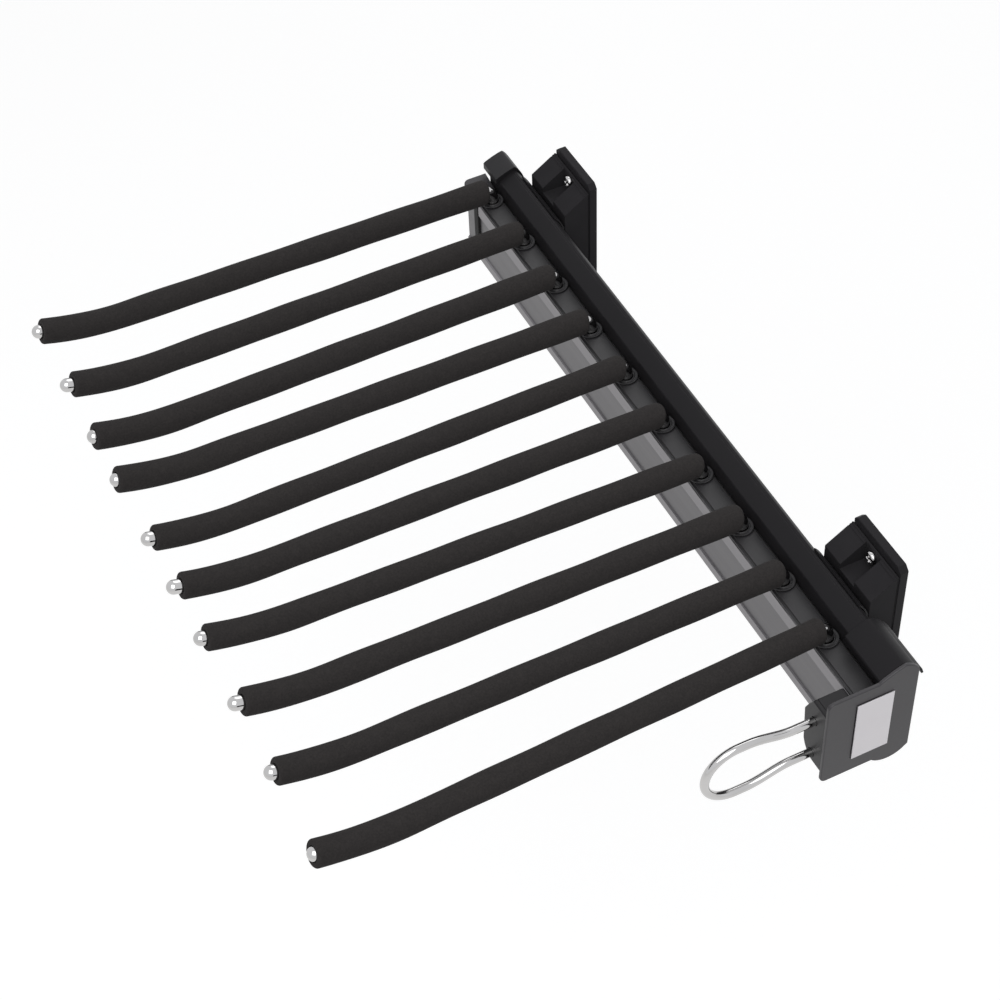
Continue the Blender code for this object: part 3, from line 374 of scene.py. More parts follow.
def meshOf(name, shells):
    # Joins closed shells in one mesh, merges their seams and poles, and turns the faces outwards
    points, faces, count = [], [], 0
    for shellPoints, shellFaces in shells:
        points.append(shellPoints)
        faces += [[count + corner for corner in face] for face in shellFaces]
        count += len(shellPoints)
    mesh = bpy.data.meshes.new(name)
    mesh.from_pydata((np.concatenate(points) * mm).tolist(), [], faces)
    work = bmesh.new()
    work.from_mesh(mesh)
    bmesh.ops.remove_doubles(work, verts=work.verts, dist=1e-6)
    bmesh.ops.dissolve_degenerate(work, edges=work.edges, dist=1e-7)
    bmesh.ops.recalc_face_normals(work, faces=work.faces)
    work.to_mesh(mesh)
    work.free()
    return mesh


def newObject(name, shells):
    piece = bpy.data.objects.new(name, meshOf(name, shells))
    bpy.context.scene.collection.objects.link(piece)
    return piece


def carve(piece, shells):
    # Cuts each closed shell out of the piece
    cutters = []
    for number, shell in enumerate(shells):
        cutter = newObject("cutter%d" % number, [shell])
        hole = piece.modifiers.new(cutter.name, "BOOLEAN")
        hole.operation = "DIFFERENCE"
        hole.solver = "EXACT"
        hole.object = cutter
        cutters.append(cutter)
    carved = bpy.data.meshes.new_from_object(piece.evaluated_get(bpy.context.evaluated_depsgraph_get()))
    carved.name = piece.name
    piece.modifiers.clear()
    piece.data = carved
    for cutter in cutters:
        bpy.data.objects.remove(cutter)


def dress(name, shells, body, slot, nodes, cuts=(), smooth=38.0, finish=None):
    # One finished piece: its mesh, shading, finish, body and the solids it stands for
    piece = newObject(name, shells)
    if cuts:
        carve(piece, cuts)
    piece.data.shade_smooth()
    piece.data.set_sharp_from_angle(angle=math.radians(smooth))
    piece.data.materials.clear()
    piece.data.materials.append(finish or finishes[slot])
    level = piece.modifiers.new("flat_faces", "WEIGHTED_NORMAL")
    level.keep_sharp = True
    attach(piece, body)
    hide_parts(*nodes)
    return piece


# Trouser arms

arm = {
    "count": 10, "pitch": 43.05, "frontY": -22.6, "x": -48.0, "z": 20.0,
    "bend": 6.0, "straight": 235.7, "tipRadius": 170.0, "reach": 292.8,
    "rodRadius": 4.0, "studRadius": 3.0, "studBottom": -20.7, "shoulder": -11.7,
    "turns": (0.8, -0.4, -0.8, 0.5, -0.5, 0.6, 1.5, 0.8, 0.0, -1.9),
}
bendEnd = arm["bend"] * math.pi / 2
tipStart = bendEnd + arm["straight"] - arm["bend"]
tipReach = arm["reach"] - arm["straight"]
domeStart = tipStart + arm["tipRadius"] * math.asin(tipReach / arm["tipRadius"]) - arm["rodRadius"]


def armRings(distance, radius, number, sides=32):
    # Circles about the arm's line. The line rises up the leg, turns through a quarter circle,
    # runs straight and curls up: x = -R (1 - cos b) - lead - T sin c, z = -R (1 - sin b) + T (1 - cos c)
    s = np.asarray(distance, float)
    b = np.clip(s / arm["bend"], 0, math.pi / 2)
    lead = np.clip(s - bendEnd, 0, tipStart - bendEnd)
    c = np.maximum(s - tipStart, 0) / arm["tipRadius"]
    x = -arm["bend"] * (1 - np.cos(b)) - lead - arm["tipRadius"] * np.sin(c)
    z = -arm["bend"] * (1 - np.sin(b)) + arm["tipRadius"] * (1 - np.cos(c)) + np.minimum(s, 0)
    lift = math.pi / 2 - b + c
    angle = np.arange(sides) * tau / sides
    radius = radius + 0 * s[:, None] + 0 * angle
    rise = radius * np.sin(angle)
    alongX = x[:, None] + rise * np.sin(lift)[:, None]
    acrossY = radius * np.cos(angle)
    turn = math.radians(-arm["turns"][number])
    return np.stack([
        arm["x"] + alongX * math.cos(turn) - acrossY * math.sin(turn),
        armY(number) + alongX * math.sin(turn) + acrossY * math.cos(turn),
        arm["z"] + z[:, None] + rise * np.cos(lift)[:, None],
    ], -1)


def armY(number):
    return arm["frontY"] + arm["pitch"] * (arm["count"] - 1 - number)


def rod(number):
    # Stud, leg, bend, straight run, curled tip and a round dome: r = R cos t at R sin t past its start
    legTop = -arm["bend"]
    stud = arm["studBottom"] - legTop
    shoulder = arm["shoulder"] - legTop
    thin, full = arm["studRadius"], arm["rodRadius"]
    t = np.linspace(0, math.pi / 2, 11)[1:]
    run = np.concatenate([
        np.linspace(0.5, bendEnd, 14), np.linspace(bendEnd + 20, tipStart, 6),
        np.linspace(tipStart + 6, domeStart, 9),
    ])
    distance = np.concatenate([
        [stud, stud, stud + 0.5, shoulder, shoulder, shoulder + 0.3, 0.0], run, domeStart + full * np.sin(t),
    ])
    radius = np.concatenate([
        [0, thin - 0.5, thin, thin, full - 0.3, full, full], np.full(len(run), full), full * np.cos(t),
    ])
    return skin(armRings(distance, radius[:, None], number))


sleeve = {
    "bore": 4.3, "edge": 1.3, "wave": 0.11,
    "starts": (7.8, 6.8, 7.4, 7.6, 7.0, 6.1, 5.9, 6.4, 6.5, 7.8),
    "diameters": (15.1, 15.0, 15.3, 14.9, 14.3, 14.8, 14.3, 15.1, 14.6, 14.4),
    "cover": (-1.5, -3.4, -0.1, 0.4, -3.1, -4.0, -2.3, -3.9, -2.0, 1.2),
}


def foamSleeve(number):
    # A tube with rounded ends: outer radius R plus slow waves along s and round a,
    # R + w (sin(s / 8.3 + p) + 0.6 sin(2 a + s / 17 + p) + 0.4 sin(3 a - s / 11))
    start, end = sleeve["starts"][number], domeStart + sleeve["cover"][number]
    outer, bore, edge = sleeve["diameters"][number] / 2, sleeve["bore"], sleeve["edge"]
    t = np.linspace(0, math.pi / 2, 6)
    run = np.linspace(start + edge, end - edge, 96)[1:-1]
    back = np.linspace(end, start, 40)
    faceStart = np.linspace(bore, outer - edge, 5)
    faceEnd = faceStart[::-1]
    distance = np.concatenate([
        np.full(4, start), start + edge * (1 - np.cos(t)), run, end - edge * (1 - np.cos(t[::-1])),
        np.full(4, end), back[1:-1],
    ])
    radius = np.concatenate([
        faceStart[:-1], outer - edge * (1 - np.sin(t)), np.full(len(run), outer),
        outer - edge * (1 - np.sin(t[::-1])), faceEnd[1:], np.full(len(back) - 2, bore),
    ])
    sides = 40
    angle = np.arange(sides) * tau / sides
    phase = 1.7 * number
    s = distance[:, None]
    waves = np.sin(s / 8.3 + phase) + 0.6 * np.sin(2 * angle + s / 17 + phase)
    waves = waves + 0.4 * np.sin(3 * angle - s / 11)
    share = np.clip((radius - bore) / (outer - bore), 0, 1)[:, None]
    radius = radius[:, None] + sleeve["wave"] * waves * share
    return skin(armRings(distance, radius, number, sides), loop=True)


collar = {"flange": 7.2, "neck": 5.0, "bore": 4.3, "bottom": 8.3, "seat": 11.1, "top": 12.0, "groove": 0.28}


def stripCollar(number):
    # A moulded bush: neck in the strip, and a flange with a raised rim at both edges
    flange, neck, bore, top = collar["flange"], collar["neck"], collar["bore"], collar["top"]
    low = top - collar["groove"]
    profile = [
        (bore, collar["bottom"]), (neck - 0.2, collar["bottom"]), (neck, collar["bottom"] + 0.2),
        (neck, collar["seat"]), (flange - 0.15, collar["seat"]), (flange, collar["seat"] + 0.2),
        (flange, top - 0.35), (flange - 0.12, top - 0.1), (flange - 0.35, top), (flange - 0.7, top - 0.05),
        (flange - 1.0, low), (bore + 1.0, low), (bore + 0.75, top - 0.05), (bore + 0.45, top),
        (bore + 0.15, top - 0.1), (bore, top - 0.4),
    ]
    return turned(profile, (arm["x"], armY(number), 0), sides=56, loop=True)


for number in range(arm["count"]):
    tag = "%02d" % (number + 1)
    dress("chromeRod" + tag, [rod(number)], "carriage", "chrome", ["arm_rod_" + tag], smooth=60)
    foam = dress("foamSleeve" + tag, [foamSleeve(number)], "carriage", "foam", ["arm_sleeve_" + tag],
                 smooth=70)
    dress("stripCollar" + tag, [stripCollar(number)], "carriage", "black_plastic", ["arm_collar_" + tag],
          finish=stripFinish)
print("arms made")


# Carriage

beam = {
    "left": -55.6, "right": -39.4, "top": 8.0, "bottom": -38.0, "frontY": -64.7, "rearY": 369.2,
    "topBand": 9.0, "bottomBand": 6.0, "recess": 1.0, "corner": 0.45,
    "cells": ((-36.5, -33.0), (-27.0, -18.0), (-12.0, 6.0)), "cellLeft": -53.1, "cellRight": -40.9,
    "ports": (-15.0, -30.0), "portX": -46.0, "portRadius": 1.5,
    "hooks": (3.0, 153.0, 303.0), "hookLength": 8.0, "hookHalf": 1.75, "hookReach": 4.0,
}


def box(left, right, low, high):
    return [(left, low), (right, low), (right, high), (left, high)]


def beamOutline():
    recessX = beam["left"] + beam["recess"]
    upper = beam["top"] - beam["topBand"]
    lower = beam["bottom"] + beam["bottomBand"]
    return roundCorners([
        (beam["right"], beam["top"]), (beam["left"], beam["top"]), (beam["left"], upper),
        (recessX, upper - beam["recess"]), (recessX, lower + beam["recess"]), (beam["left"], lower),
        (beam["left"], beam["bottom"]), (beam["right"], beam["bottom"]),
    ], beam["corner"])


def beamCuts():
    cuts = []
    for low, high in beam["cells"]:
        cell = roundCorners(box(beam["cellLeft"], beam["cellRight"], low, high), 0.6)
        cuts.append(bar(cell, beam["frontY"] - past, beam["rearY"] + past, edges=(0, 0)))
    for height in beam["ports"]:
        cuts.append(pin(beam["portRadius"], beam["frontY"] - past, beam["rearY"] + past,
                        (beam["portX"], 0, height), "Y"))
    for number in range(arm["count"]):
        cuts.append(pin(arm["studRadius"] + gap, 4, 12, (arm["x"], armY(number), 0)))
    half = beam["hookHalf"] + gap
    slot = box(beam["right"] - beam["hookReach"] - gap, beam["right"] + past, slideZ - half, slideZ + half)
    reach = beam["hookLength"] / 2 + gap
    for y in beam["hooks"]:
        cuts.append(bar(slot, y - reach, y + reach, edges=(0, 0)))
    return cuts


dress("carriageBeam", [bar(beamOutline(), beam["frontY"], beam["rearY"], edges=(0.2, 0.2))],
      "carriage", "aluminium", ["carriage_beam"], beamCuts())

endPieces = {"bumperFrontY": 369.5, "bumperRearY": 375.0, "proud": 0.4, "pieceFrontY": 375.3, "rearY": 387.0}
bumperBox = box(beam["left"] - endPieces["proud"], beam["right"], beam["bottom"], beam["top"])
bumperSolid = bar(roundCorners(bumperBox, 0.8), endPieces["bumperFrontY"], endPieces["bumperRearY"],
                  edges=(0.5, 0.5))
dress("rearBumper", [bumperSolid], "carriage", "rubber", ["rear_bumper"])
dress("beamEndPiece", [bar(beamOutline(), endPieces["pieceFrontY"], endPieces["rearY"], edges=(0.2, 0.4))],
      "carriage", "aluminium", ["beam_end_piece"])

strip = {
    "left": -55.3, "right": -41.6, "bottom": 8.3, "top": 10.8, "frontY": -64.7, "rearY": 372.3,
    "step": 1.2, "drop": 1.0, "slope": 0.4, "bevel": 0.55,
    "grooveFrom": 1.3, "grooveWidth": 0.35, "grooveDepth": 0.3,
}


def stripOutline():
    # Flat top, a bevel and a groove along the right edge, and a step down along the left one
    left, right, top = strip["left"], strip["right"], strip["top"]
    stepX = left + strip["step"]
    grooveX = right - strip["grooveFrom"]
    grooveLeft = grooveX - strip["grooveWidth"]
    floor = top - strip["grooveDepth"]
    return roundCorners([
        (left, strip["bottom"]), (right, strip["bottom"]), (right, top - strip["bevel"]),
        (right - strip["bevel"], top), (grooveX, top), (grooveX, floor),
        (grooveLeft, floor), (grooveLeft, top),
        (stepX, top), (stepX, top - strip["drop"]), (left, top - strip["drop"] - strip["slope"]),
    ], 0.09, 2)


collarHoles = [pin(collar["neck"] + gap, 5, 15, (arm["x"], armY(number), 0), sides=32)
               for number in range(arm["count"])]
dress("armStrip", [bar(stripOutline(), strip["frontY"], strip["rearY"], edges=(0.05, 0.05), steps=1)],
      "carriage", "black_plastic", ["arm_strip"], collarHoles, finish=stripFinish)

rearCap = {
    "left": -57.5, "right": -41.4, "frontY": 372.6, "rearY": 387.0, "corner": 4.0, "bottom": 8.3,
    "frontTop": 11.4, "rearTop": 14.6,
}


def quarter(centreX, centreY, radius, start, end, steps=10):
    # Points of an arc, in degrees from +X towards the second axis
    angle = np.radians(np.linspace(start, end, steps + 1))
    return np.column_stack([centreX + radius * np.cos(angle), centreY + radius * np.sin(angle)])


capRound = quarter(rearCap["left"] + rearCap["corner"], rearCap["rearY"] - rearCap["corner"],
                   rearCap["corner"], 90, 180)
capOutline = np.concatenate([
    [(rearCap["left"], rearCap["frontY"]), (rearCap["right"], rearCap["frontY"]),
     (rearCap["right"], rearCap["rearY"])], capRound,
])
capPoints, capFaces = bar(capOutline, rearCap["bottom"], rearCap["frontTop"], "Z", (0.15, 0.7), 4)
# The top rises towards the rear: z grows by (rear top - front top) * share of the length
capShare = (capPoints[:, 1] - rearCap["frontY"]) / (rearCap["rearY"] - rearCap["frontY"])
isTop = capPoints[:, 2] > (rearCap["bottom"] + rearCap["frontTop"]) / 2
capPoints[:, 2] += np.where(isTop, (rearCap["rearTop"] - rearCap["frontTop"]) * capShare, 0)
dress("carriageRearCap", [(capPoints, capFaces)], "carriage", "grey_paint", ["carriage_rear_cap"])
print("carriage made")


# Rail housing, its caps and straps

housing = {
    "left": -40.4, "right": -23.8, "wall": 1.5, "top": (20.0, 25.1, 14.8), "leftGrowth": 0.6,
    "bottomSpring": -41.5, "bottomRise": 5.5, "topLip": 8.7, "bottomLip": -38.7,
    "frontY": -63.0, "rearY": 382.0, "grooves": (0.54, 0.605), "grooveDepth": 0.15, "grooveWidth": 0.012,
}
crest = {"at": 0.63, "rise": 1.35, "fall": 1.5, "points": 0.6}
bracketY = (0.0, 339.5)
slideBore = {"radius": 2.05, "start": -30.0, "housingEnd": -15.0, "blockEnd": -12.7}


def leaningArch(left, right, heights, steps=48):
    # From the left height to the top at share c of the span, z = top - (top - left) (1 - t)^p, and down to
    # the right height as x = c + (1 - c) sin(f)^q, z = right + (top - right) cos(f)^q
    leftHeight, top, rightHeight = heights
    rising = int(steps * crest["points"])
    topX = left + (right - left) * crest["at"]
    t = np.linspace(0, 1, rising + 1)[:-1]
    f = np.linspace(0, math.pi / 2, steps - rising + 1)
    return np.concatenate([
        np.column_stack([left + (topX - left) * t, top - (top - leftHeight) * (1 - t) ** crest["rise"]]),
        np.column_stack([topX + (right - topX) * np.sin(f) ** crest["fall"],
                         rightHeight + (top - rightHeight) * np.cos(f) ** crest["fall"]]),
    ])


def housingArches(offset, steps=48):
    left, right = housing["left"] - offset, housing["right"] + offset
    leftHeight, topHeight, rightHeight = housing["top"]
    heights = (leftHeight + offset * housing["leftGrowth"], topHeight + offset, rightHeight)
    top = leaningArch(left, right, heights, steps)
    bottom = arch(left, right, housing["bottomSpring"], -housing["bottomRise"] - offset, steps)
    return top, bottom


def housingOutline():
    # The arch's own lines: z falls by depth * exp(-((u - u0) / width)^2) at two shares u of the span
    top, bottom = housingArches(0, 160)
    share = (top[:, 0] - housing["left"]) / (housing["right"] - housing["left"])
    for place in housing["grooves"]:
        top[:, 1] -= housing["grooveDepth"] * np.exp(-((share - place) / housing["grooveWidth"]) ** 2)
    innerTop, innerBottom = housingArches(-housing["wall"])
    inner = housing["left"] + housing["wall"]
    # The left edge of the top is rounded along four points between the wall and the arch
    edge = top[0] + np.array([(0, -0.5), (0.05, -0.22), (0.16, 0.0), (0.34, 0.24)])
    return np.concatenate([
        [(housing["left"], housing["topLip"])], edge, top[top[:, 0] > top[0, 0] + 0.55], bottom[::-1],
        [(housing["left"], housing["bottomLip"])], [(inner, housing["bottomLip"])], innerBottom,
        innerTop[::-1], [(inner, housing["topLip"])],
    ])


screwHoles = [pin(slideBore["radius"], slideBore["start"], slideBore["housingEnd"], (0, y, slideZ), "X")
              for y in bracketY]
dress("railHousing", [bar(housingOutline(), housing["frontY"], housing["rearY"], edges=(0.2, 0.2), steps=2)],
      "frame", "black_paint", ["rail_housing"], screwHoles, 24)

railCap = {
    "left": -42.6, "leftBottom": 19.0, "leftTop": 22.9, "archInset": 0.7, "top": (23.5, 27.8, 14.0),
    "lowerLeft": -42.5, "lowerTop": -39.0, "innerX": -38.5, "skirt": 0.8, "frontY": 369.0, "rearY": 387.0,
}


def railCapOutline():
    right = housing["right"] + gap + railCap["skirt"]
    drop = housing["bottomRise"] + railCap["skirt"] + gap
    return np.concatenate([
        [(railCap["left"], railCap["leftBottom"]), (railCap["left"], railCap["leftTop"])],
        leaningArch(railCap["left"] + railCap["archInset"], right, railCap["top"]),
        arch(railCap["lowerLeft"], right, housing["bottomSpring"], -drop, 24)[::-1],
        [(railCap["lowerLeft"], railCap["lowerTop"]), (railCap["innerX"], railCap["lowerTop"]),
         (railCap["innerX"], railCap["leftBottom"])],
    ])


overArch, underArch = housingArches(gap)
capCavity = bar(np.concatenate([overArch, underArch[::-1]]), railCap["frontY"] - past, housing["rearY"] + gap,
                edges=(0, 0))
dress("railRearCap", [bar(railCapOutline(), railCap["frontY"], railCap["rearY"], edges=(0.25, 0.5), steps=4)],
      "frame", "grey_paint", ["rail_rear_cap"], [capCavity], finish=blockFinish)

hood = {
    "left": -43.0, "right": -21.8, "bottom": 18.5, "top": (20.6, 27.0, 20.6),
    "skirtBottom": 10.0, "skirtX": -22.2, "frontY": -64.7, "rearY": -32.0,
    "lip": ((-19.2, 18.3), (-17.2, 15.0), (-16.0, 11.4), (-17.3, 11.2), (-18.5, 14.4), (-20.3, 17.0),
            (-22.2, 17.6)),
}


def hoodOutline():
    # Outer arch, hooked lip, skirt on the wall side, and the housing's arch as its inside
    inner = housingArches(gap)[0][::-1]
    return np.concatenate([
        [(hood["left"], hood["bottom"])], leaningArch(hood["left"], hood["right"], hood["top"]),
        hood["lip"], [(hood["skirtX"], hood["skirtBottom"]), (inner[0][0], hood["skirtBottom"])],
        inner, [(inner[-1][0], hood["bottom"])],
    ])


dress("frontHood", [bar(hoodOutline(), hood["frontY"], hood["rearY"], edges=(0.1, 0.35), steps=3)],
      "carriage", "black_paint", ["front_hood"], (), 30)

strap = {"thickness": 1.2, "halfWidth": 22.0, "steps": 40, "from": 27}


def strapOutline():
    # The housing's right side, moved out, from one shoulder to the other
    lines = []
    for offset in (gap, gap + strap["thickness"]):
        top, bottom = housingArches(offset, strap["steps"])
        lines.append(np.concatenate([top[strap["from"]:], bottom[strap["from"]:][::-1]]))
    return np.concatenate([lines[0], lines[1][::-1]])


for side, y, hole in zip(("Front", "Rear"), bracketY, screwHoles):
    clamp = bar(strapOutline(), y - strap["halfWidth"], y + strap["halfWidth"], edges=(0.25, 0.25))
    dress("railClamp" + side, [clamp], "frame", "black_paint", ["rail_clamp_" + side.lower()], [hole])
print("housing made")


# Brackets

bracket = {
    "halfWidth": 22.0, "plateThickness": 5.0, "plateHalfHeight": 40.0, "chamfer": 3.0,
    "wallX": -5.3, "railX": -22.0, "highAtWall": 35.5, "highAtRail": 24.5,
    "lines": (1.5, 3.3), "lineWidth": 0.5, "lineDepth": 0.35,
    "hollowHalf": 7.0, "hollowWallX": -7.0, "hollowFloor": 21.0, "corner": 0.6,
    "screwZ": 29.0, "screwHole": 2.5, "headRadius": 4.0, "headHeight": 2.5, "shankRadius": 2.0,
    "shankLength": 6.4,
}


def plateShell(y):
    # A chamfered plate with rounded front edges
    half, high, cut = bracket["halfWidth"], bracket["plateHalfHeight"], bracket["chamfer"]
    outline = [
        (y - half, -high + cut), (y - half + cut, -high), (y + half - cut, -high), (y + half, -high + cut),
        (y + half, high - cut), (y + half - cut, high), (y - half + cut, high), (y - half, high - cut),
    ]
    front = -bracket["plateThickness"]
    insets = [0.6, 0.3, 0.08, 0, 0, 0.15]
    depths = [front, front + 0.08, front + 0.3, front + 0.6, -0.15, 0]
    return layered(roundCorners(outline, 0.6, 3), insets, depths, "X")


def blockOutline():
    # Top and bottom slope down to the rail, with two fine lines near the wall plate
    wall = np.array([bracket["wallX"], bracket["highAtWall"]])
    rail = np.array([bracket["railX"], bracket["highAtRail"]])
    down = unit(rail - wall)
    inward = np.array([-down[1], down[0]]) * bracket["lineDepth"]
    upper = [wall]
    for place in bracket["lines"]:
        start, end = wall + down * place, wall + down * (place + bracket["lineWidth"])
        upper += [start, start + inward, end + inward, end]
    upper = np.array(upper + [rail])
    radii = np.zeros(len(upper))
    radii[[0, -1]] = bracket["corner"]
    outline = np.concatenate([upper, (upper * (1, -1))[::-1]])
    return roundCorners(outline, np.concatenate([radii, radii[::-1]]), 3)


def screwShell(y, height):
    # A pan head with a cross recess. Its face stands at h = H (1 - (r / R)^2)^0.25, and the cross
    # sinks it by D exp(-(m / w)^4) where m is the lesser of |y| and |z| and the greater is under L
    radius, high = bracket["headRadius"], bracket["headHeight"]
    r = np.concatenate([[radius, radius], radius * np.cos(np.linspace(0.08, math.pi / 2, 26))])[:, None]
    angle = np.arange(96) * tau / 96
    y0, z0 = r * np.cos(angle), r * np.sin(angle)
    face = high * np.maximum(1 - (r / radius) ** 2, 0) ** 0.25 + 0 * angle
    lesser, greater = np.minimum(abs(y0), abs(z0)), np.maximum(abs(y0), abs(z0))
    cross = 1.5 * np.exp(-(lesser / 0.55) ** 4) / (1 + np.exp((greater - 2.1) / 0.12))
    seat = bracket["hollowWallX"] - gap
    x = seat - face + np.where(r < radius * 0.8, cross, 0)
    x[0] = seat
    head = np.stack([x, y + y0, height + z0], -1)
    shank = [(0, bracket["shankLength"]), (bracket["shankRadius"] - 0.4, bracket["shankLength"]),
             (bracket["shankRadius"], bracket["shankLength"] - 0.5), (bracket["shankRadius"], 0)]
    below = np.array(shank)
    below[:, 1] += seat
    rings = np.stack([below[:, 1:] + 0 * angle, y + below[:, :1] * np.cos(angle),
                      height + below[:, :1] * np.sin(angle)], -1)
    return skin(np.concatenate([rings, head]))


for side, y in zip(("Front", "Rear"), bracketY):
    low = side.lower()
    bores = [pin(bracket["screwHole"], -past, past, (0, y, sign * bracket["screwZ"]), "X")
             for sign in (-1, 1)]
    dress("wallPlate" + side, [plateShell(y)], "frame", "black_paint", ["wall_plate_" + low], bores, 30,
          wallFinish)
    half = bracket["halfWidth"]
    hollows = []
    for sign in (1, -1):
        edge = sorted((sign * bracket["hollowFloor"], sign * 60))
        section = roundCorners(box(bracket["railX"] - past, bracket["hollowWallX"], *edge), 0.7)
        hollows.append(bar(section, y - bracket["hollowHalf"], y + bracket["hollowHalf"], edges=(0, 0)))
    bores.append(pin(slideBore["radius"], slideBore["start"], slideBore["blockEnd"], (0, y, slideZ), "X"))
    dress("bracketBlock" + side, [bar(blockOutline(), y - half, y + half, edges=(0.4, 0.4))], "frame",
          "black_plastic", ["bracket_block_" + low], hollows + bores, 30)
    for end, height in (("Upper", bracket["screwZ"]), ("Lower", -bracket["screwZ"])):
        dress("wallScrew" + side + end, [screwShell(y, height)], "frame", "chrome",
              ["wall_screw_%s_%s" % (low, end.lower())], smooth=50)
print("brackets made")


# Front plate, name plate and handle

front = {
    "left": -74.0, "right": -20.5, "top": 20.2, "bottom": -45.0, "corner": 3.5,
    "faceY": -67.0, "backY": -65.0, "archLead": 1.0, "arch": (21.2, 27.3, 20.4),
    "sideTop": 19.0, "sideBottom": -43.5,
    "lowerRight": -22.2, "lowerRise": 4.4,
    "edge": 0.7, "pegLength": 14.0, "pegRadius": 1.2,
}
namePlate = {"left": -56.8, "right": -35.0, "top": 11.0, "bottom": -33.5, "frontY": -68.0, "backY": -67.3,
             "pocket": 0.45, "pocketDepth": 0.5, "rim": 0.75}


def frontOutline():
    r = front["corner"]
    return np.concatenate([
        quarter(front["left"] + r, front["top"] - r, r, 180, 90),
        [(hood["left"] - front["archLead"], front["top"])],
        leaningArch(hood["left"], front["right"] - gap, front["arch"]),
        [(front["right"], front["sideTop"]), (front["right"], front["sideBottom"])],
        arch(hood["left"], front["lowerRight"], front["bottom"], -front["lowerRise"])[::-1],
        quarter(front["left"] + r, front["bottom"] + r, r, 270, 180),
    ])


pegs = [pin(front["pegRadius"], front["backY"] - 0.5, front["faceY"] + front["pegLength"],
            (beam["portX"], 0, height), "Y") for height in beam["ports"]]
around = namePlate["pocket"]
pocket = bar(roundCorners(box(namePlate["left"] - around, namePlate["right"] + around,
                              namePlate["bottom"] - around, namePlate["top"] + around), 0.8),
             front["faceY"] - 5, front["faceY"] + namePlate["pocketDepth"], edges=(0, 0))
plateShells = [bar(frontOutline(), front["faceY"], front["backY"], edges=(front["edge"], 0.25), steps=4)]
dress("frontPlate", plateShells + pegs, "carriage", "grey_paint", ["front_plate"], [pocket], 30)

rim = namePlate["rim"]
plateFace = namePlate["frontY"]
plateOutline = box(namePlate["left"], namePlate["right"], namePlate["bottom"], namePlate["top"])
dress("namePlate", [layered(plateOutline, [0, 0, 0.12, 0.35, rim, rim + 0.25],
                            [namePlate["backY"], plateFace + 0.3, plateFace + 0.06, plateFace, plateFace,
                             plateFace + 0.14], "Y")],
      "carriage", "label_metal", ["label_plate"], (), 20)

block = {
    "left": -73.2, "right": -55.9, "frontY": -64.7, "top": 8.0, "corner": 1.1, "edge": 0.9,
    "back": ((12.5, 8.0), (16.5, 1.0), (19.5, -5.5), (18.0, -29.0), (16.5, -32.5), (14.0, -36.0),
             (10.0, -38.5)),
    "lineAt": 2.2, "lineWidth": 0.5, "lineDepth": 0.3,
}


def blockShell():
    # The block's side outline in (Y, Z) carried along X, with a rounded left end and a fine line near it
    back = [(block["frontY"] + depth, z) for depth, z in block["back"]]
    outline = [(block["frontY"], block["top"])] + back + [(block["frontY"], block["back"][-1][1])]
    t = np.linspace(0, math.pi / 2, 6)
    edge, left = block["edge"], block["left"]
    line, wide, deep = left + block["lineAt"], block["lineWidth"], block["lineDepth"]
    insets = np.concatenate([edge * (1 - np.sin(t)), [0, deep, deep, 0, 0, 0.2]])
    depths = np.concatenate([left + edge * (1 - np.cos(t)), [line, line + 0.1, line + wide - 0.1, line + wide,
                                                             block["right"] - 0.2, block["right"]]])
    return layered(roundCorners(outline, block["corner"], 4), insets, depths, "X")


loop = {
    "y": -55.0, "z": -19.1, "spread": 13.4, "rootX": -61.0, "straightX": -85.0, "wideX": -113.0,
    "endX": -118.3, "endRadius": 18.6, "wire": 2.45,
}
loopHoles = [pin(loop["wire"] + gap, block["left"] - past, loop["rootX"] + gap,
                 (0, loop["y"], loop["z"] + side * loop["spread"]), "X") for side in (1, -1)]
dress("handleBlock", [blockShell()], "carriage", "grey_paint", ["handle_block"], loopHoles, 30, blockFinish)


def wireLoop():
    # Upper wire, round end and lower wire in one plane; the wire widens as s + (R - s)(1 - cos pi u) / 2
    u = np.linspace(0, 1, 28)
    widening = loop["spread"] + (loop["endRadius"] - loop["spread"]) * (1 - np.cos(math.pi * u)) / 2
    rootX = np.linspace(loop["rootX"], loop["straightX"], 14)
    t = np.linspace(math.pi / 2, 3 * math.pi / 2, 56)
    upper = np.concatenate([
        np.column_stack([rootX, np.full(14, loop["spread"])]),
        np.column_stack([loop["straightX"] + (loop["wideX"] - loop["straightX"]) * u, widening])[1:],
    ])
    roundEnd = np.column_stack([loop["endX"] + loop["endRadius"] * np.cos(t), loop["endRadius"] * np.sin(t)])
    line = np.concatenate([upper, roundEnd, (upper * (1, -1))[::-1]])
    tangent = unit(np.gradient(line, axis=0))
    normal = np.column_stack([-tangent[:, 1], tangent[:, 0]])
    angle = np.arange(32) * tau / 32
    rise = loop["wire"] * np.sin(angle)
    return skin(np.stack([
        line[:, :1] + normal[:, :1] * rise,
        loop["y"] + loop["wire"] * np.cos(angle) + 0 * line[:, :1],
        loop["z"] + line[:, 1:] + normal[:, 1:] * rise,
    ], -1))


dress("loopHandle", [wireLoop()], "carriage", "chrome", ["loop_handle"], smooth=60)
print("front made")


# Solids whose shape is right keep it and take a finish

for name in ("slide_outer", "slide_middle", "slide_inner", "outer_ball_cage", "inner_ball_cage",
             "arm_stud_bar", "slide_screw_front", "slide_screw_rear"):
    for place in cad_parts[name].material_slots:
        place.material = finishes["zinc_steel"]
print("slide finished")


# Floor, light and camera

stageLook = {"floorZ": -620.0, "floorHalf": 6000.0, "floorShade": 0.45, "glow": 0.72}


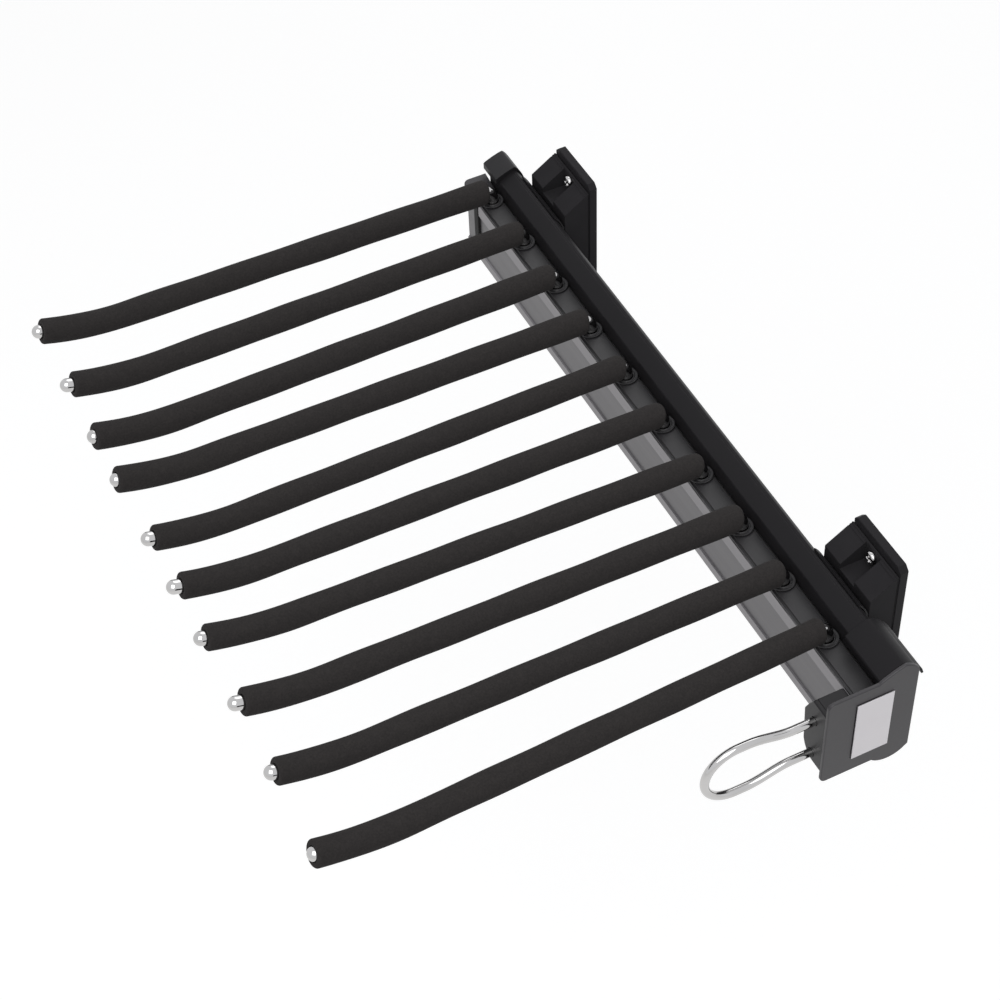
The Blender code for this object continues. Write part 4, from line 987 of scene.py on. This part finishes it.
def floorFinish(look):
    shade = look["floorShade"]
    finish = Finish("floor", Base_Color=(shade, shade, shade, 1.0), Roughness=0.9, Specular_IOR_Level=0.2)
    finish.shader.inputs["Emission Color"].default_value = (1.0, 1.0, 1.0, 1.0)
    finish.feed("Emission Strength", finish.whiteRays() * look["glow"])
    return finish.material


reach = stageLook["floorHalf"]
floorMesh = bpy.data.meshes.new("floor")
floorCorners = [(x * mm, y * mm, stageLook["floorZ"] * mm) for x, y in box(-reach, reach, -reach, reach)]
floorMesh.from_pydata(floorCorners, [], [(0, 1, 2, 3)])
floor = bpy.data.objects.new("floor", floorMesh)
floorMesh.materials.append(floorFinish(stageLook))
bpy.context.scene.collection.objects.link(floor)

lamps = {
    "key": {"at": (-900, -900, 1900), "size": 2000, "watts": 33.0},
    "back": {"at": (910, 1550, 1470), "size": 1300, "watts": 7.5},
}
middle = Vector((-170.0, 150.0, 0.0))
for name, lamp in lamps.items():
    light = bpy.data.lights.new(name, "AREA")
    light.energy = lamp["watts"]
    light.size = lamp["size"] * mm
    holder = bpy.data.objects.new(name, light)
    at = Vector(lamp["at"])
    holder.location = at * mm
    holder.rotation_euler = (middle - at).to_track_quat("-Z", "Y").to_euler()
    bpy.context.scene.collection.objects.link(holder)

worldLook = {"colour": (0.97, 0.98, 1.0, 1.0), "strength": 0.30}


class Backdrop(Finish):
    # The world's own nodes, which are white where the camera, metal or glass sees them
    def __init__(self, name, look):
        self.material = bpy.data.worlds.new(name)
        self.material.use_nodes = True
        self.tree = self.material.node_tree
        self.shader = self.tree.nodes["Background"]
        self.shader.inputs["Color"].default_value = look["colour"]
        self.feed("Strength", look["strength"] + self.whiteRays() * (1 - look["strength"]))


bpy.context.scene.world = Backdrop("studio", worldLook).material

view = {"at": (-503.1, -628.6, 955.3), "azimuth": -24.42, "elevation": 48.15, "roll": -2.70, "lens": 83.8}


def placeCamera(look):
    # back = (sin a cos e, -cos a cos e, sin e), right = (cos a, sin a, 0), both then rolled by r
    a, e, r = (math.radians(look[key]) for key in ("azimuth", "elevation", "roll"))
    back = Vector((math.sin(a) * math.cos(e), -math.cos(a) * math.cos(e), math.sin(e)))
    right = Vector((math.cos(a), math.sin(a), 0.0))
    up = back.cross(right)
    across = right * math.cos(r) + up * math.sin(r)
    upward = up * math.cos(r) - right * math.sin(r)
    camera = bpy.data.objects.new("camera", bpy.data.cameras.new("camera"))
    camera.data.sensor_width = 36.0
    camera.data.lens = look["lens"]
    camera.data.clip_start = 0.01
    camera.data.clip_end = 50.0
    turn = Matrix((across, upward, back)).transposed().to_4x4()
    camera.matrix_world = Matrix.Translation(Vector(look["at"]) * mm) @ turn
    bpy.context.scene.collection.objects.link(camera)
    bpy.context.scene.camera = camera


placeCamera(view)
bpy.context.scene.view_settings.view_transform = "Standard"
print("stage made")
